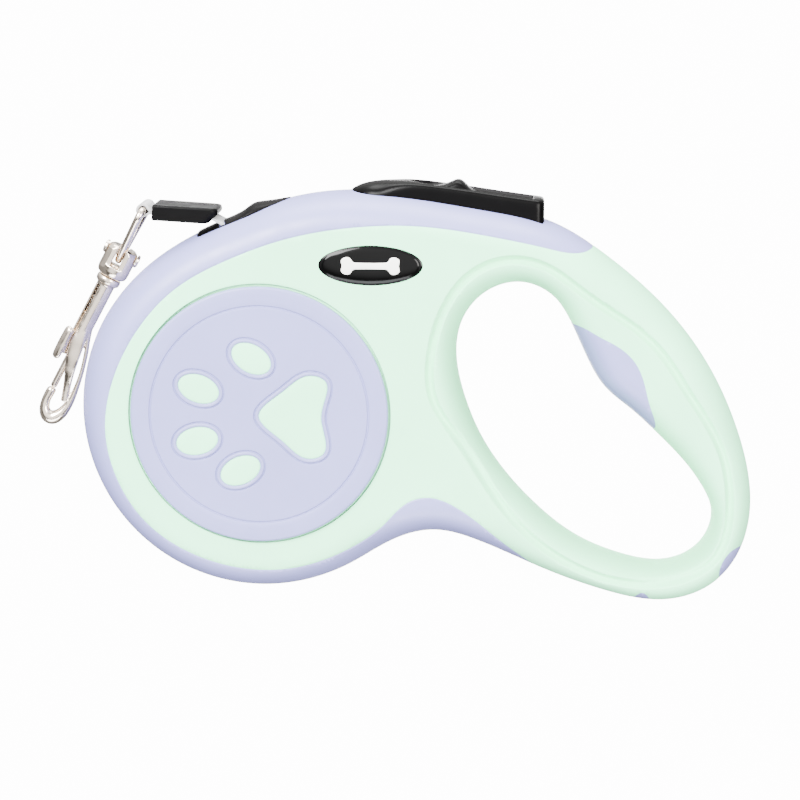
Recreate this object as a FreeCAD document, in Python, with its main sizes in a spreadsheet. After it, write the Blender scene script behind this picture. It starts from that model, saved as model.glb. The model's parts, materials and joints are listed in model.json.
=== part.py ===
"""Retractable dog leash: two casing shells with a finger hole, a spring reel with its tape,
a thumb brake with a lock, and a swivel snap hook on the tape's end.

Every piece is drawn in the reel's frame (origin on the reel axis, +X to the handle, +Y to the rear
face, +Z up, millimetres) and is then placed so that the origin lies at the middle of the grip.
"""

import FreeCAD, Part
import Sketcher
import math
import os

Vector = FreeCAD.Vector
Placement = FreeCAD.Placement
Rotation = FreeCAD.Rotation
AXIS_X = Vector(1, 0, 0)
AXIS_Y = Vector(0, 1, 0)
AXIS_Z = Vector(0, 0, 1)

doc = FreeCAD.newDocument("retractable_leash")
sheet = doc.addObject("Spreadsheet::Sheet", "Dimensions")

DIMENSIONS = [
    # casing
    ("body_radius", 49.0),
    ("half_depth", 15.0),
    ("outer_round", 6.0),
    ("hole_round", 4.2),
    ("wall", 3.2),
    ("skin", 1.2),
    ("hole_wall", 2.6),
    ("chamber_half_depth", 11.8),
    ("grip_x", 102.5),
    ("grip_z", 13.0),
    # side discs and trim
    ("disc_radius", 34.0),
    ("disc_thickness", 2.5),
    ("disc_face", 16.5),
    ("disc_gap", 0.4),
    ("disc_ring_radius", 29.1),
    ("disc_ring_wire", 0.35),
    ("pad_thickness", 1.0),
    ("pad_depth", 1.0),
    ("badge_long", 14.0),
    ("badge_short", 5.4),
    ("badge_height", 1.4),
    # reel
    ("flange_radius", 40.5),
    ("flange_half_gap", 6.5),
    ("flange_thickness", 1.5),
    ("drum_inner", 19.0),
    ("drum_outer", 21.0),
    ("cup_floor", 4.5),
    ("notch_count", 12),
    ("notch_depth", 3.4),
    ("notch_width", 4.2),
    ("arbor_radius", 5.0),
    ("running_gap", 0.05),
    ("washer_radius", 8.5),
    ("washer_thickness", 0.7),
    ("standoff_face", 8.9),
    # tape
    ("tape_width", 12.0),
    ("tape_thickness", 0.6),
    ("pack_radius", 37.9),
    ("mouth_x", -10.8),
    ("mouth_z", 49.8),
    # brake
    ("lever_half_width", 6.5),
    ("lever_pin_x", 29.0),
    ("lever_pin_z", 53.0),
    ("pawl_pin_x", 45.0),
    ("pawl_pin_z", 27.5),
    ("pin_radius", 1.5),
    ("boss_radius", 3.4),
    # snap hook, on its own axis
    ("swivel_x", -41.95),
    ("swivel_z", 33.8),
    ("snap_lean", 28.0),
    ("clevis_pin_height", 8.0),
    ("bar_height", 22.0),
    ("bar_wire", 1.0),
    ("barrel_radius", 2.5),
    ("barrel_bore", 1.3),
    ("bolt_radius", 1.22),
    ("hook_wire", 1.95),
    ("clevis_pin_radius", 0.9),
    ("stem_radius", 1.2),
    # end sleeve
    ("sleeve_half_width", 7.25),
    ("sleeve_tilt", 3.5),
]
for row, (alias, size) in enumerate(DIMENSIONS, start=1):
    sheet.set("A%d" % row, alias)
    sheet.set("B%d" % row, str(size))
    sheet.setAlias("B%d" % row, alias)
doc.recompute()


def value(alias):
    return float(sheet.get(alias))


BODY_RADIUS = value("body_radius")
HALF_DEPTH = value("half_depth")
CHAMBER = value("chamber_half_depth")
TAPE_WIDTH = value("tape_width")
TAPE_THICKNESS = value("tape_thickness")
MOUTH = Vector(value("mouth_x"), 0, value("mouth_z"))
LEVER_PIN = Vector(value("lever_pin_x"), 0, value("lever_pin_z"))
PAWL_PIN = Vector(value("pawl_pin_x"), 0, value("pawl_pin_z"))
PIN_RADIUS = value("pin_radius")
RUNNING_GAP = value("running_gap")

TO_GRIP = Placement(Vector(-value("grip_x"), 0, -value("grip_z")), Rotation())
SNAP_FRAME = Placement(
    Vector(value("swivel_x"), 0, value("swivel_z")), Rotation(AXIS_Y, value("snap_lean"))
)
BAR = SNAP_FRAME.multVec(Vector(0, 0, value("bar_height")))

NODES = []


def node(thing, label, local=None):
    """Names a finished sub-part and moves it from its own frame to the grip's frame."""
    thing.Label = label
    thing.Placement = TO_GRIP.multiply(local) if local else TO_GRIP
    NODES.append(thing)
    return thing


def shape_node(label, shape, local=None):
    thing = doc.addObject("Part::Feature", label)
    thing.Shape = shape
    return node(thing, label, local)


# ---------------------------------------------------------------- shape helpers


def at(x, z, y=0.0):
    return Vector(x, y, z)


def prism(outline, y_low, y_high):
    """A closed wire or edge in the XZ plane, drawn out from y_low to y_high."""
    wire = outline if isinstance(outline, Part.Wire) else Part.Wire(outline)
    face = Part.Face(wire)
    face.translate(Vector(0, y_low, 0))
    return face.extrude(Vector(0, y_high - y_low, 0))


def polygon(points):
    corners = [at(x, z) for x, z in points]
    return Part.makePolygon(corners + corners[:1])


def smooth_ring(points):
    curve = Part.BSplineCurve()
    curve.interpolate(Points=[at(x, z) for x, z in points], PeriodicFlag=True)
    return curve


def offset_ring(curve, distance, count=72):
    """The closed curve moved by distance to its outer side (negative moves it inwards)."""
    span = curve.LastParameter - curve.FirstParameter
    turn = 1.0 if signed_area(curve) > 0 else -1.0
    moved = []
    for i in range(count):
        u = curve.FirstParameter + span * i / count
        spot = curve.value(u)
        along = curve.tangent(u)[0]
        moved.append((spot.x + turn * distance * along.z, spot.z - turn * distance * along.x))
    return smooth_ring(moved)


def signed_area(curve, count=90):
    span = curve.LastParameter - curve.FirstParameter
    spots = [curve.value(curve.FirstParameter + span * i / count) for i in range(count)]
    return sum(a.x * b.z - b.x * a.z for a, b in zip(spots, spots[1:] + spots[:1])) / 2


def tube_y(x, z, outer, inner, y_low, y_high):
    """A ring along Y; inner 0 gives a plain cylinder."""
    span = y_high - y_low
    solid = Part.makeCylinder(outer, span, at(x, z, y_low), AXIS_Y)
    if inner > 0:
        solid = solid.cut(Part.makeCylinder(inner, span, at(x, z, y_low), AXIS_Y))
    return solid


def block(x_low, x_high, y_low, y_high, z_low, z_high):
    return Part.makeBox(
        x_high - x_low, y_high - y_low, z_high - z_low, Vector(x_low, y_low, z_low)
    )


def span(side, near, far):
    """The y range from near to far, counted out from the parting plane; side -1 is the front."""
    return sorted((side * near, side * far))


def mirrored(shape):
    """The same piece on the other side of the parting plane."""
    return shape.mirror(Vector(0, 0, 0), AXIS_Y)


def edges_at_y(solid, y, tolerance=1e-4):
    picked = []
    for edge in solid.Edges:
        box = edge.BoundBox
        if abs(box.YMin - y) < tolerance and abs(box.YMax - y) < tolerance:
            picked.append(edge)
    return picked


def tangent_from(point, radius):
    """Where a tape that leaves a pack of this radius for the point lifts off, turning up and left."""
    reach = math.hypot(point.x, point.z)
    angle = math.atan2(point.z, point.x) - math.acos(radius / reach)
    return at(radius * math.cos(angle), radius * math.sin(angle))


LIFT_OFF = tangent_from(MOUTH, value("pack_radius") + 0.15 + TAPE_THICKNESS / 2)
EXIT_DIRECTION = (MOUTH - LIFT_OFF).normalize()
EXIT_ANGLE = math.degrees(math.atan2(EXIT_DIRECTION.z, -EXIT_DIRECTION.x))
# local frame of the tape's run: +X towards the pack, +Z away from the reel
EXIT_FRAME = Placement(MOUTH, Rotation(AXIS_Y, EXIT_ANGLE))


def exit_block(length_in, length_out, half_width, half_height):
    """A box round the tape's straight run, in the reel's frame."""
    solid = block(-length_out, length_in, -half_width, half_width, -half_height, half_height)
    solid.Placement = EXIT_FRAME
    return solid


# ---------------------------------------------------------------- casing outlines

ROUND_START = 128
ROUND_END = 300
ROUND_STEPS = 9
HANDLE_AND_TOP = [
    (35.0, -36.3),
    (46.3, -33.4),
    (58.0, -36.2),
    (75.0, -43.3),
    (92.0, -49.2),
    (109.0, -51.6),
    (122.0, -46.6),
    (129.6, -35.5),
    (131.2, -22.0),
    (127.8, -6.5),
    (120.0, 11.0),
    (107.5, 27.6),
    (92.0, 40.8),
    (77.0, 49.3),
    (58.5, 55.1),
    (38.0, 58.0),
    (20.0, 58.2),
    (6.5, 56.0),
    (-5.5, 51.8),
    (-17.0, 46.9),
]
FINGER_HOLE = [
    (120.9, -28.0),
    (118.0, -20.5),
    (112.4, -13.0),
    (105.5, -6.0),
    (98.5, 0.4),
    (91.6, 6.3),
    (87.4, 13.0),
    (83.0, 22.5),
    (78.0, 30.3),
    (69.5, 34.3),
    (60.0, 31.7),
    (53.6, 24.0),
    (52.0, 13.0),
    (54.4, 2.0),
    (59.4, -9.6),
    (66.2, -19.4),
    (74.5, -28.2),
    (85.0, -36.3),
    (97.5, -41.4),
    (109.0, -42.6),
    (117.6, -38.0),
]
# edge of the soft overmould on the round body; on the handle it runs past the outline
SKIN_EDGE = [
    (80.0, 60.0),
    (80.0, 44.4),
    (69.0, 46.6),
    (58.5, 49.4),
    (48.0, 51.2),
    (37.5, 51.9),
    (27.0, 51.3),
    (16.0, 49.6),
    (5.0, 46.5),
    (-8.0, 41.0),
    (-21.0, 32.1),
    (-30.5, 20.8),
    (-36.8, 7.2),
    (-38.4, -5.0),
    (-36.0, -18.1),
    (-29.9, -28.1),
    (-19.2, -36.3),
    (-5.7, -40.2),
    (10.5, -39.4),
    (21.3, -34.4),
    (32.0, -26.6),
    (38.7, -23.2),
    (45.4, -22.4),
    (52.1, -24.5),
    (59.0, -29.3),
    (67.0, -35.2),
    (76.0, -41.0),
    (76.0, -60.0),
    (140.0, -60.0),
    (140.0, 60.0),
]


def casing_points():
    points = []
    for i in range(ROUND_STEPS):
        angle = math.radians(ROUND_START + (ROUND_END - ROUND_START) * i / (ROUND_STEPS - 1))
        points.append((BODY_RADIUS * math.cos(angle), BODY_RADIUS * math.sin(angle)))
    return points + HANDLE_AND_TOP


OUTLINE = smooth_ring(casing_points())
HOLE = smooth_ring(FINGER_HOLE)


def half_casing(side, inset):
    """One half of the casing as a solid, its surface moved in by inset."""
    outer = OUTLINE if inset == 0 else offset_ring(OUTLINE, -inset)
    hole = HOLE if inset == 0 else offset_ring(HOLE, inset)
    depth = HALF_DEPTH - inset
    half = prism(outer.toShape(), *span(side, 0, depth))
    half = half.makeFillet(value("outer_round") - inset, edges_at_y(half, side * depth))
    half = half.cut(prism(hole.toShape(), *span(side, -5, depth + 5)))
    rims = [e for e in edges_at_y(half, side * depth) if is_hole_edge(e)]
    return half.makeFillet(value("hole_round") - inset, rims)


def is_hole_edge(edge):
    """True on the rim of the finger hole, which lies well inside the casing's box."""
    box = edge.BoundBox
    return box.XMin > 45 and box.XMax < 124 and box.ZMin > -46 and box.ZMax < 38


# ---------------------------------------------------------------- casing shells

SCREW_SPOTS = [(-40.6, 14.8), (-35.4, -24.8), (46.0, -24.5), (88.5, 33.0), (126.0, -27.0)]
SCREW_RADIUS = 1.1
SCREW_BOSS = 2.3
HEAD_RADIUS = 2.4
HEAD_HEIGHT = 1.6
HEAD_SEAT = 12.6
ARBOR_HEAD_SEAT = 12.3
ARBOR_SCREW_TIP = 6.9
SCREW_TIP = -9.0
LEVER_SLOT = (23.6, 75.7)
LEVER_SLOT_FLOOR = 44.0
LEDGE = (57.0, 66.0, 39.6, 42.0)
BOSS_FACE = 9.0
DISC_COLLAR = 0.6
TAPE_WAY_LENGTH = 20.0


def chamber(side):
    """The hollow inside one half of the casing."""
    outer = offset_ring(OUTLINE, -value("wall"))
    hollow = prism(outer.toShape(), *span(side, 0, CHAMBER))
    hollow = hollow.makeFillet(3.0, edges_at_y(hollow, side * CHAMBER))
    hole_wall = offset_ring(HOLE, value("hole_wall"))
    return hollow.cut(prism(hole_wall.toShape(), *span(side, -1, CHAMBER + 1)))


def inner_bosses(side):
    """The standoff and the pin and screw bosses that stand in from a shell's wall."""
    root = CHAMBER + 0.5
    standoff_span = span(side, value("standoff_face"), root)
    pieces = [tube_y(0, 0, value("washer_radius"), 0, *standoff_span)]
    for pin in (LEVER_PIN, PAWL_PIN):
        pieces.append(tube_y(pin.x, pin.z, value("boss_radius"), 0, *span(side, BOSS_FACE, root)))
    for x, z in SCREW_SPOTS:
        pieces.append(tube_y(x, z, SCREW_BOSS, 0, *span(side, 0, root)))
    return pieces


def drillings(side):
    """Holes for the arbor screw, the pins and the casing screws."""
    holes = [
        tube_y(0, 0, SCREW_RADIUS + 0.1, 0, *span(side, 8, 20)),
        tube_y(0, 0, HEAD_RADIUS + 0.2, 0, *span(side, ARBOR_HEAD_SEAT, 20)),
    ]
    for pin in (LEVER_PIN, PAWL_PIN):
        holes.append(tube_y(pin.x, pin.z, PIN_RADIUS, 0, *span(side, -1, CHAMBER)))
    for x, z in SCREW_SPOTS:
        if side < 0:
            holes.append(tube_y(x, z, SCREW_RADIUS, 0, SCREW_TIP, 1))
        else:
            holes.append(tube_y(x, z, SCREW_RADIUS + 0.1, 0, -1, 20))
            holes.append(tube_y(x, z, HEAD_RADIUS + 0.2, 0, HEAD_SEAT, 20))
    return holes


def make_half(side, side_name):
    """One shell with its soft overmould."""
    whole = half_casing(side, 0)
    inner = half_casing(side, value("skin"))
    recess_radius = value("disc_radius") + value("disc_gap")
    recess_floor = value("disc_face") - value("disc_thickness")
    recess = tube_y(0, 0, recess_radius, 0, *span(side, recess_floor, 20))
    collar = tube_y(0, 0, recess_radius + DISC_COLLAR, 0, *span(side, -1, 20))
    covered = prism(polygon(SKIN_EDGE), *span(side, -1, HALF_DEPTH + 1))
    skin = whole.cut(inner).common(covered).cut(collar)
    low, high = LEVER_SLOT
    half_slot = value("lever_half_width") + 0.3
    slot = block(low, high, -half_slot, half_slot, LEVER_SLOT_FLOOR, 70)
    tape_way = exit_block(TAPE_WAY_LENGTH, 0, TAPE_WIDTH / 2 + 0.3, TAPE_THICKNESS / 2 + 0.3)
    seat = [outlet_hood(0.0), outlet_neck(0.05), tape_way]
    shell = whole.cut(skin).cut(chamber(side))
    for boss in inner_bosses(side):
        shell = shell.fuse(boss)
    for tool in [recess, slot] + seat:
        shell = shell.cut(tool)
    for tool in [slot, badge_solid(side, 0.0, BADGE_SUNK)] + seat:
        skin = skin.cut(tool)
    if side > 0:
        low_x, high_x, low_z, high_z = LEDGE
        shell = shell.fuse(block(low_x, high_x, 0, CHAMBER + 0.5, low_z, high_z))
        for x, z in SCREW_SPOTS:
            skin = skin.cut(tube_y(x, z, HEAD_RADIUS + 0.2, 0, 5, 20))
    for hole in drillings(side):
        shell = shell.cut(hole)
    shape_node(side_name + "_shell", shell)
    shape_node(side_name + "_overmould", skin)


# ---------------------------------------------------------------- tape outlet

OUTLET_HALF_WIDTH = 8.0
HOOD_PROFILE = [
    (-16.8, 46.6),
    (-5.5, 51.0),
    (7.2, 55.6),
    (7.2, 56.3),
    (-0.6, 55.9),
    (-3.8, 55.3),
    (-6.3, 53.6),
    (-9.6, 51.2),
    (-11.4, 50.2),
    (-16.8, 47.8),
]
NECK_LENGTH = 8.5
NECK_HALF_WIDTH = 7.6
NECK_HALF_HEIGHT = 2.6
THROAT_HALF_WIDTH = 6.5
THROAT_HALF_HEIGHT = 1.0


def outlet_hood(grow):
    half = OUTLET_HALF_WIDTH + grow
    return prism(polygon(HOOD_PROFILE), -half, half)


def outlet_neck(grow):
    return exit_block(NECK_LENGTH, -1.0, NECK_HALF_WIDTH + grow, NECK_HALF_HEIGHT + grow)


def make_tape_outlet():
    throat = exit_block(30, 12, THROAT_HALF_WIDTH, THROAT_HALF_HEIGHT)
    shape_node("tape_outlet", outlet_hood(0.0).fuse(outlet_neck(0.0)).cut(throat))


# ---------------------------------------------------------------- discs, pads and badges

# toe pads: centre x, centre z, long half-axis, short half-axis, turn in degrees
TOES = [
    (-1.9, 15.1, 5.6, 3.7, -30.0),
    (-16.0, 6.9, 5.6, 3.7, -20.0),
    (-16.5, -7.2, 5.6, 3.7, 12.0),
    (-5.0, -15.1, 5.6, 3.7, 25.0),
]
MAIN_PAD = [
    (0.0, -0.3),
    (6.8, 6.6),
    (13.9, 10.6),
    (17.9, 8.9),
    (17.6, 4.2),
    (16.6, -1.0),
    (17.6, -6.2),
    (17.2, -10.3),
    (13.2, -11.7),
    (6.6, -7.3),
]


POCKET_SCALE = 1.012


def toe_outline(x, z, long_half, short_half, turn):
    ellipse = Part.Ellipse(at(0, 0), long_half, short_half).toShape()
    ellipse.rotate(Vector(0, 0, 0), AXIS_X, 90)
    ellipse.rotate(Vector(0, 0, 0), AXIS_Y, -turn)
    ellipse.translate(at(x, z))
    return ellipse


def paw_outlines():
    return [toe_outline(*toe) for toe in TOES] + [smooth_ring(MAIN_PAD).toShape()]


def make_side_disc(side, side_name):
    """The disc as a turned cap with an incised ring, and pockets for its pads."""
    disc = doc.addObject("Part::Cylinder", side_name + "_disc_blank")
    disc.setExpression("Radius", "Dimensions.disc_radius")
    disc.setExpression("Height", "Dimensions.disc_thickness")
    disc.Placement = Placement(
        Vector(0, -value("disc_face"), 0), Rotation(AXIS_X, -90)
    )
    ring = doc.addObject("Part::Torus", side_name + "_disc_ring")
    ring.setExpression("Radius1", "Dimensions.disc_ring_radius")
    ring.setExpression("Radius2", "Dimensions.disc_ring_wire")
    ring.Placement = disc.Placement
    cut = doc.addObject("Part::Cut", side_name + "_disc_ringed")
    cut.Base = disc
    cut.Tool = ring
    doc.recompute()
    face = value("disc_face")
    pad_depth = value("pad_depth")
    plate = cut.Shape.makeChamfer(0.6, rim_edges(cut.Shape, face))
    for outline in paw_outlines():
        pocket_outline = outline.scaled(POCKET_SCALE, outline.BoundBox.Center)
        plate = plate.cut(prism(pocket_outline, -face - 1, -face + pad_depth))
    pads = []
    for outline in paw_outlines():
        top = -face + pad_depth - value("pad_thickness")
        pad = prism(outline, top, -face + pad_depth)
        pads.append(pad.makeFillet(0.25, edges_at_y(pad, top)))
    pads_shape = Part.makeCompound(pads)
    if side > 0:
        plate = mirrored(plate)
        pads_shape = mirrored(pads_shape)
    shape_node(side_name + "_disc", plate)
    shape_node(side_name + "_paw_pads", pads_shape)


def rim_edges(solid, face):
    """The disc's outer rim at its show face."""
    rims = []
    for edge in edges_at_y(solid, -face):
        if edge.BoundBox.XMax > value("disc_radius") - 0.1:
            rims.append(edge)
    return rims


BADGE_CENTRE = (29.7, 40.0)
BADGE_SUNK = 0.4


def badge_solid(side, proud, sunk):
    """An oval button on a face; sunk is how far it goes into the face."""
    ellipse = Part.Ellipse(at(0, 0), value("badge_long"), value("badge_short")).toShape()
    ellipse.rotate(Vector(0, 0, 0), AXIS_X, 90)
    ellipse.translate(at(*BADGE_CENTRE))
    return prism(ellipse, *span(side, HALF_DEPTH - sunk, HALF_DEPTH + proud))


def make_badge(side, side_name):
    proud = value("badge_height") - BADGE_SUNK
    badge = badge_solid(side, proud, BADGE_SUNK)
    badge = badge.makeFillet(0.9, edges_at_y(badge, side * (HALF_DEPTH + proud)))
    shape_node(side_name + "_badge", badge)


# ---------------------------------------------------------------- document helpers


def number(size):
    """A size given as a number or as an expression on the sheet."""
    return float(sheet.evalExpression(size)) if isinstance(size, str) else float(size)


def bind(thing, property_name, size):
    if isinstance(size, str):
        thing.setExpression(property_name, size)
    else:
        setattr(thing, property_name, size)


def cylinder(name, radius, height, base, along=AXIS_Y):
    """A Part::Cylinder that starts at base and runs along a direction."""
    thing = doc.addObject("Part::Cylinder", name)
    bind(thing, "Radius", radius)
    bind(thing, "Height", height)
    thing.Placement = Placement(base, Rotation(AXIS_Z, along))
    return thing


def cut_of(name, base, tool):
    thing = doc.addObject("Part::Cut", name)
    thing.Base = base
    thing.Tool = tool
    return thing


def sketch_on(body, name, role="XZ_Plane", y=0.0):
    """A sketch on one of the body's own planes; on XZ_Plane it can stand at another y."""
    sketch = body.newObject("Sketcher::SketchObject", name)
    plane = [f for f in body.Origin.OriginFeatures if f.Role == role][0]
    sketch.AttachmentSupport = [(plane, "")]
    sketch.MapMode = "FlatFace"
    sketch.AttachmentOffset = Placement(Vector(0, 0, -y), Rotation())
    return sketch


def draw_polygon(sketch, points):
    """A closed polygon whose corners are held by numbers or by expressions on the sheet."""
    corners = [Vector(number(a), number(b), 0) for a, b in points]
    first = sketch.GeometryCount
    count = len(corners)
    for i in range(count):
        sketch.addGeometry(Part.LineSegment(corners[i], corners[(i + 1) % count]), False)
    for i in range(count):
        following = first + (i + 1) % count
        sketch.addConstraint(Sketcher.Constraint("Coincident", first + i, 2, following, 1))
    for i, corner in enumerate(points):
        for kind, size in zip(("DistanceX", "DistanceY"), corner):
            held = Sketcher.Constraint(kind, -1, 1, first + i, 1, number(size))
            index = sketch.addConstraint(held)
            if isinstance(size, str):
                sketch.setExpression("Constraints[%d]" % index, size)


def draw_circle(sketch, x, z, radius):
    circle = Part.Circle(Vector(number(x), number(z), 0), AXIS_Z, number(radius))
    index = sketch.addGeometry(circle, False)
    held = sketch.addConstraint(Sketcher.Constraint("Radius", index, number(radius)))
    if isinstance(radius, str):
        sketch.setExpression("Constraints[%d]" % held, radius)


def pad(body, name, sketch, length):
    """A pad of the given length, half to each side of its sketch."""
    feature = body.newObject("PartDesign::Pad", name)
    feature.Profile = sketch
    feature.SideType = "Symmetric"
    bind(feature, "Length", length)
    return feature


def pocket(body, name, sketch, length=None):
    """A pocket to both sides of its sketch, through everything when no length is given."""
    feature = body.newObject("PartDesign::Pocket", name)
    feature.Profile = sketch
    feature.SideType = "Symmetric"
    if length is None:
        feature.Type = "ThroughAll"
    else:
        bind(feature, "Length", length)
    return feature


def new_body(name):
    return doc.addObject("PartDesign::Body", name + "_body")


def coil(name, radius, wire, height, turns):
    """A round-wire coil along its own Z."""
    path = doc.addObject("Part::Helix", name + "_path")
    path.Pitch = height / turns
    path.Height = height
    path.Radius = radius
    section = doc.addObject("Part::Circle", name + "_wire")
    section.Radius = wire
    section.Placement = Placement(Vector(radius, 0, 0), Rotation(AXIS_X, 90))
    sweep = doc.addObject("Part::Sweep", name + "_sweep")
    sweep.Sections = [section]
    sweep.Spine = (path, [])
    sweep.Solid = True
    sweep.Frenet = True
    return sweep


# ---------------------------------------------------------------- reel

NOTCH_ANGLE = 69.0
CHEEK_RADIUS = 39.0
CHEEK_SCREW_CIRCLE = 20.0
CHEEK_SCREW_RADIUS = 0.6
CHEEK_SCREW_COUNT = 3


def make_reel():
    body = new_body("reel")
    section = sketch_on(body, "reel_section", "XY_Plane")
    bore = "Dimensions.arbor_radius + Dimensions.running_gap"
    gap = "Dimensions.flange_half_gap"
    outside = "Dimensions.flange_half_gap + Dimensions.flange_thickness"
    draw_polygon(
        section,
        [
            (bore, "Dimensions.cup_floor"),
            ("Dimensions.drum_inner", "Dimensions.cup_floor"),
            ("Dimensions.drum_inner", "-1 * Dimensions.flange_half_gap"),
            ("Dimensions.drum_outer", "-1 * Dimensions.flange_half_gap"),
            ("Dimensions.drum_outer", gap),
            ("Dimensions.flange_radius", gap),
            ("Dimensions.flange_radius", outside),
            (bore, outside),
        ],
    )
    turned = body.newObject("PartDesign::Revolution", "reel_turned")
    turned.Profile = section
    turned.ReferenceAxis = (section, ["V_Axis"])
    turned.Angle = 360
    doc.recompute()
    notch = sketch_on(body, "reel_notch")
    angle = math.radians(NOTCH_ANGLE)
    outward = Vector(math.cos(angle), math.sin(angle), 0)
    sideways = Vector(-math.sin(angle), math.cos(angle), 0)
    floor = value("flange_radius") - value("notch_depth")
    corners = []
    for reach, shift in ((floor, -0.5), (floor, 0.5), (50.0, 0.5), (50.0, -0.5)):
        spot = outward * reach + sideways * (shift * value("notch_width"))
        corners.append((spot.x, spot.y))
    draw_polygon(notch, corners)
    cut_notch = pocket(body, "reel_notch_cut", notch)
    ring = body.newObject("PartDesign::PolarPattern", "reel_notches")
    ring.Originals = [cut_notch]
    ring.Axis = (section, ["V_Axis"])
    ring.Angle = 360
    ring.setExpression("Occurrences", "Dimensions.notch_count")
    body.Tip = ring
    doc.recompute()
    screws = sketch_on(body, "reel_screw_holes")
    for x, z in cheek_screw_spots():
        draw_circle(screws, x, z, CHEEK_SCREW_RADIUS)
    pocket(body, "reel_screw_cut", screws)
    node(body, "reel")


def cheek_screw_spots():
    spots = []
    for i in range(CHEEK_SCREW_COUNT):
        angle = 2 * math.pi * i / CHEEK_SCREW_COUNT + math.pi / 2
        spots.append((CHEEK_SCREW_CIRCLE * math.cos(angle), CHEEK_SCREW_CIRCLE * math.sin(angle)))
    return spots


def make_reel_cheek():
    body = new_body("reel_cheek")
    face = sketch_on(body, "cheek_face", y=-value("flange_half_gap") - value("flange_thickness") / 2)
    draw_circle(face, 0, 0, CHEEK_RADIUS)
    draw_circle(face, 0, 0, "Dimensions.arbor_radius + Dimensions.running_gap")
    for x, z in cheek_screw_spots():
        draw_circle(face, x, z, CHEEK_SCREW_RADIUS)
    pad(body, "cheek_plate", face, "Dimensions.flange_thickness")
    node(body, "reel_cheek")


def make_cheek_screws():
    outside = -value("flange_half_gap") - value("flange_thickness")
    screws = []
    for x, z in cheek_screw_spots():
        head = tube_y(x, z, 1.3, 0, outside - 0.6, outside)
        shank = tube_y(x, z, CHEEK_SCREW_RADIUS, 0, outside, outside + 5.0)
        screws.append(head.fuse(shank).removeSplitter())
    shape_node("cheek_screws", Part.makeCompound(screws))


def make_wound_tape():
    start = Vector(0, -value("tape_width") / 2, 0)
    pack = cylinder("tape_pack", "Dimensions.pack_radius", "Dimensions.tape_width", start)
    core = cylinder("tape_core", "Dimensions.drum_outer", "Dimensions.tape_width", start)
    node(cut_of("tape_ring", pack, core), "wound_tape")


SPRING_TURNS = 9
SPRING_INNER = 6.3
SPRING_OUTER = 18.4
SPRING_STRIP = 0.35
SPRING_LOW = -5.8
SPRING_HIGH = 3.8
SPRING_TAIL = 2.6
SPIRAL_STEPS = 20


def make_power_spring():
    """A flat spiral whose inner end turns in to the arbor's slot."""
    sides = []
    steps = SPRING_TURNS * SPIRAL_STEPS
    for offset in (-SPRING_STRIP / 2, SPRING_STRIP / 2):
        spots = []
        for i in range(steps + 1):
            angle = 2 * math.pi * i / SPIRAL_STEPS
            radius = SPRING_INNER + (SPRING_OUTER - SPRING_INNER) * i / steps + offset
            spots.append(at(radius * math.cos(angle), radius * math.sin(angle)))
        curve = Part.BSplineCurve()
        curve.interpolate(spots)
        sides.append(curve)
    inner, outer = sides
    start_cap = Part.LineSegment(inner.StartPoint, outer.StartPoint).toShape()
    end_cap = Part.LineSegment(inner.EndPoint, outer.EndPoint).toShape()
    rim = Part.Wire([inner.toShape(), end_cap, outer.toShape().reversed(), start_cap])
    strip = prism(rim, SPRING_LOW, SPRING_HIGH)
    half = SPRING_STRIP / 2
    tail = block(SPRING_TAIL, SPRING_INNER + 0.05, SPRING_LOW, SPRING_HIGH, -half, half)
    shape_node("power_spring", strip.fuse(tail).removeSplitter())


ARBOR_SLOT = 0.9


def make_arbor():
    half = value("standoff_face")
    rod = cylinder(
        "arbor_rod", "Dimensions.arbor_radius", "Dimensions.standoff_face * 2", Vector(0, -half, 0)
    )
    slot = doc.addObject("Part::Box", "arbor_slot")
    slot.Length = 8
    slot.Width = SPRING_HIGH - SPRING_LOW + 0.8
    slot.Height = ARBOR_SLOT
    slot.Placement.Base = Vector(2.0, SPRING_LOW - 0.4, -ARBOR_SLOT / 2)
    bore = cylinder("arbor_bore", SCREW_RADIUS, 2 * half, Vector(0, -half, 0))
    node(cut_of("arbor_turned", cut_of("arbor_slotted", rod, slot), bore), "spring_arbor")
    screws = []
    for side in (-1, 1):
        head = tube_y(
            0, 0, HEAD_RADIUS, 0, *sorted((side * ARBOR_HEAD_SEAT, side * (ARBOR_HEAD_SEAT + 1.4)))
        )
        shank = tube_y(
            0, 0, SCREW_RADIUS, 0, *sorted((side * ARBOR_SCREW_TIP, side * ARBOR_HEAD_SEAT))
        )
        screws.append(head.fuse(shank).removeSplitter())
    shape_node("arbor_screws", Part.makeCompound(screws))
    washers = []
    inside = value("flange_half_gap") + value("flange_thickness") + 0.1
    for side in (-1, 1):
        span = sorted((side * inside, side * (inside + value("washer_thickness"))))
        washers.append(tube_y(0, 0, value("washer_radius"), value("arbor_radius") + 0.1, *span))
    shape_node("thrust_washers", Part.makeCompound(washers))


# ---------------------------------------------------------------- tape and end sleeve

SLEEVE_FRAME = Placement(at(-20.4, 52.2), Rotation(AXIS_Y, value("sleeve_tilt")))
SLEEVE_PROFILE = [(-9.0, -2.15), (6.6, -2.15), (9.3, 0.6), (8.9, 2.15), (-9.0, 2.15)]
SLEEVE_CORNER = 2.2
SLEEVE_ROUND = 0.5
FOLDED_HALF = 0.6
LOOP_INNER = 1.2


def make_tape_run():
    """The tape between the wound pack and the outlet's mouth."""
    run = doc.addObject("Part::Box", "tape_run_strip")
    run.Length = (MOUTH - LIFT_OFF).Length - 0.1
    run.setExpression("Width", "Dimensions.tape_width")
    run.setExpression("Height", "Dimensions.tape_thickness")
    start = Vector(0.1, -TAPE_WIDTH / 2, -TAPE_THICKNESS / 2)
    node(run, "tape_run", EXIT_FRAME.multiply(Placement(start, Rotation())))


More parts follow.
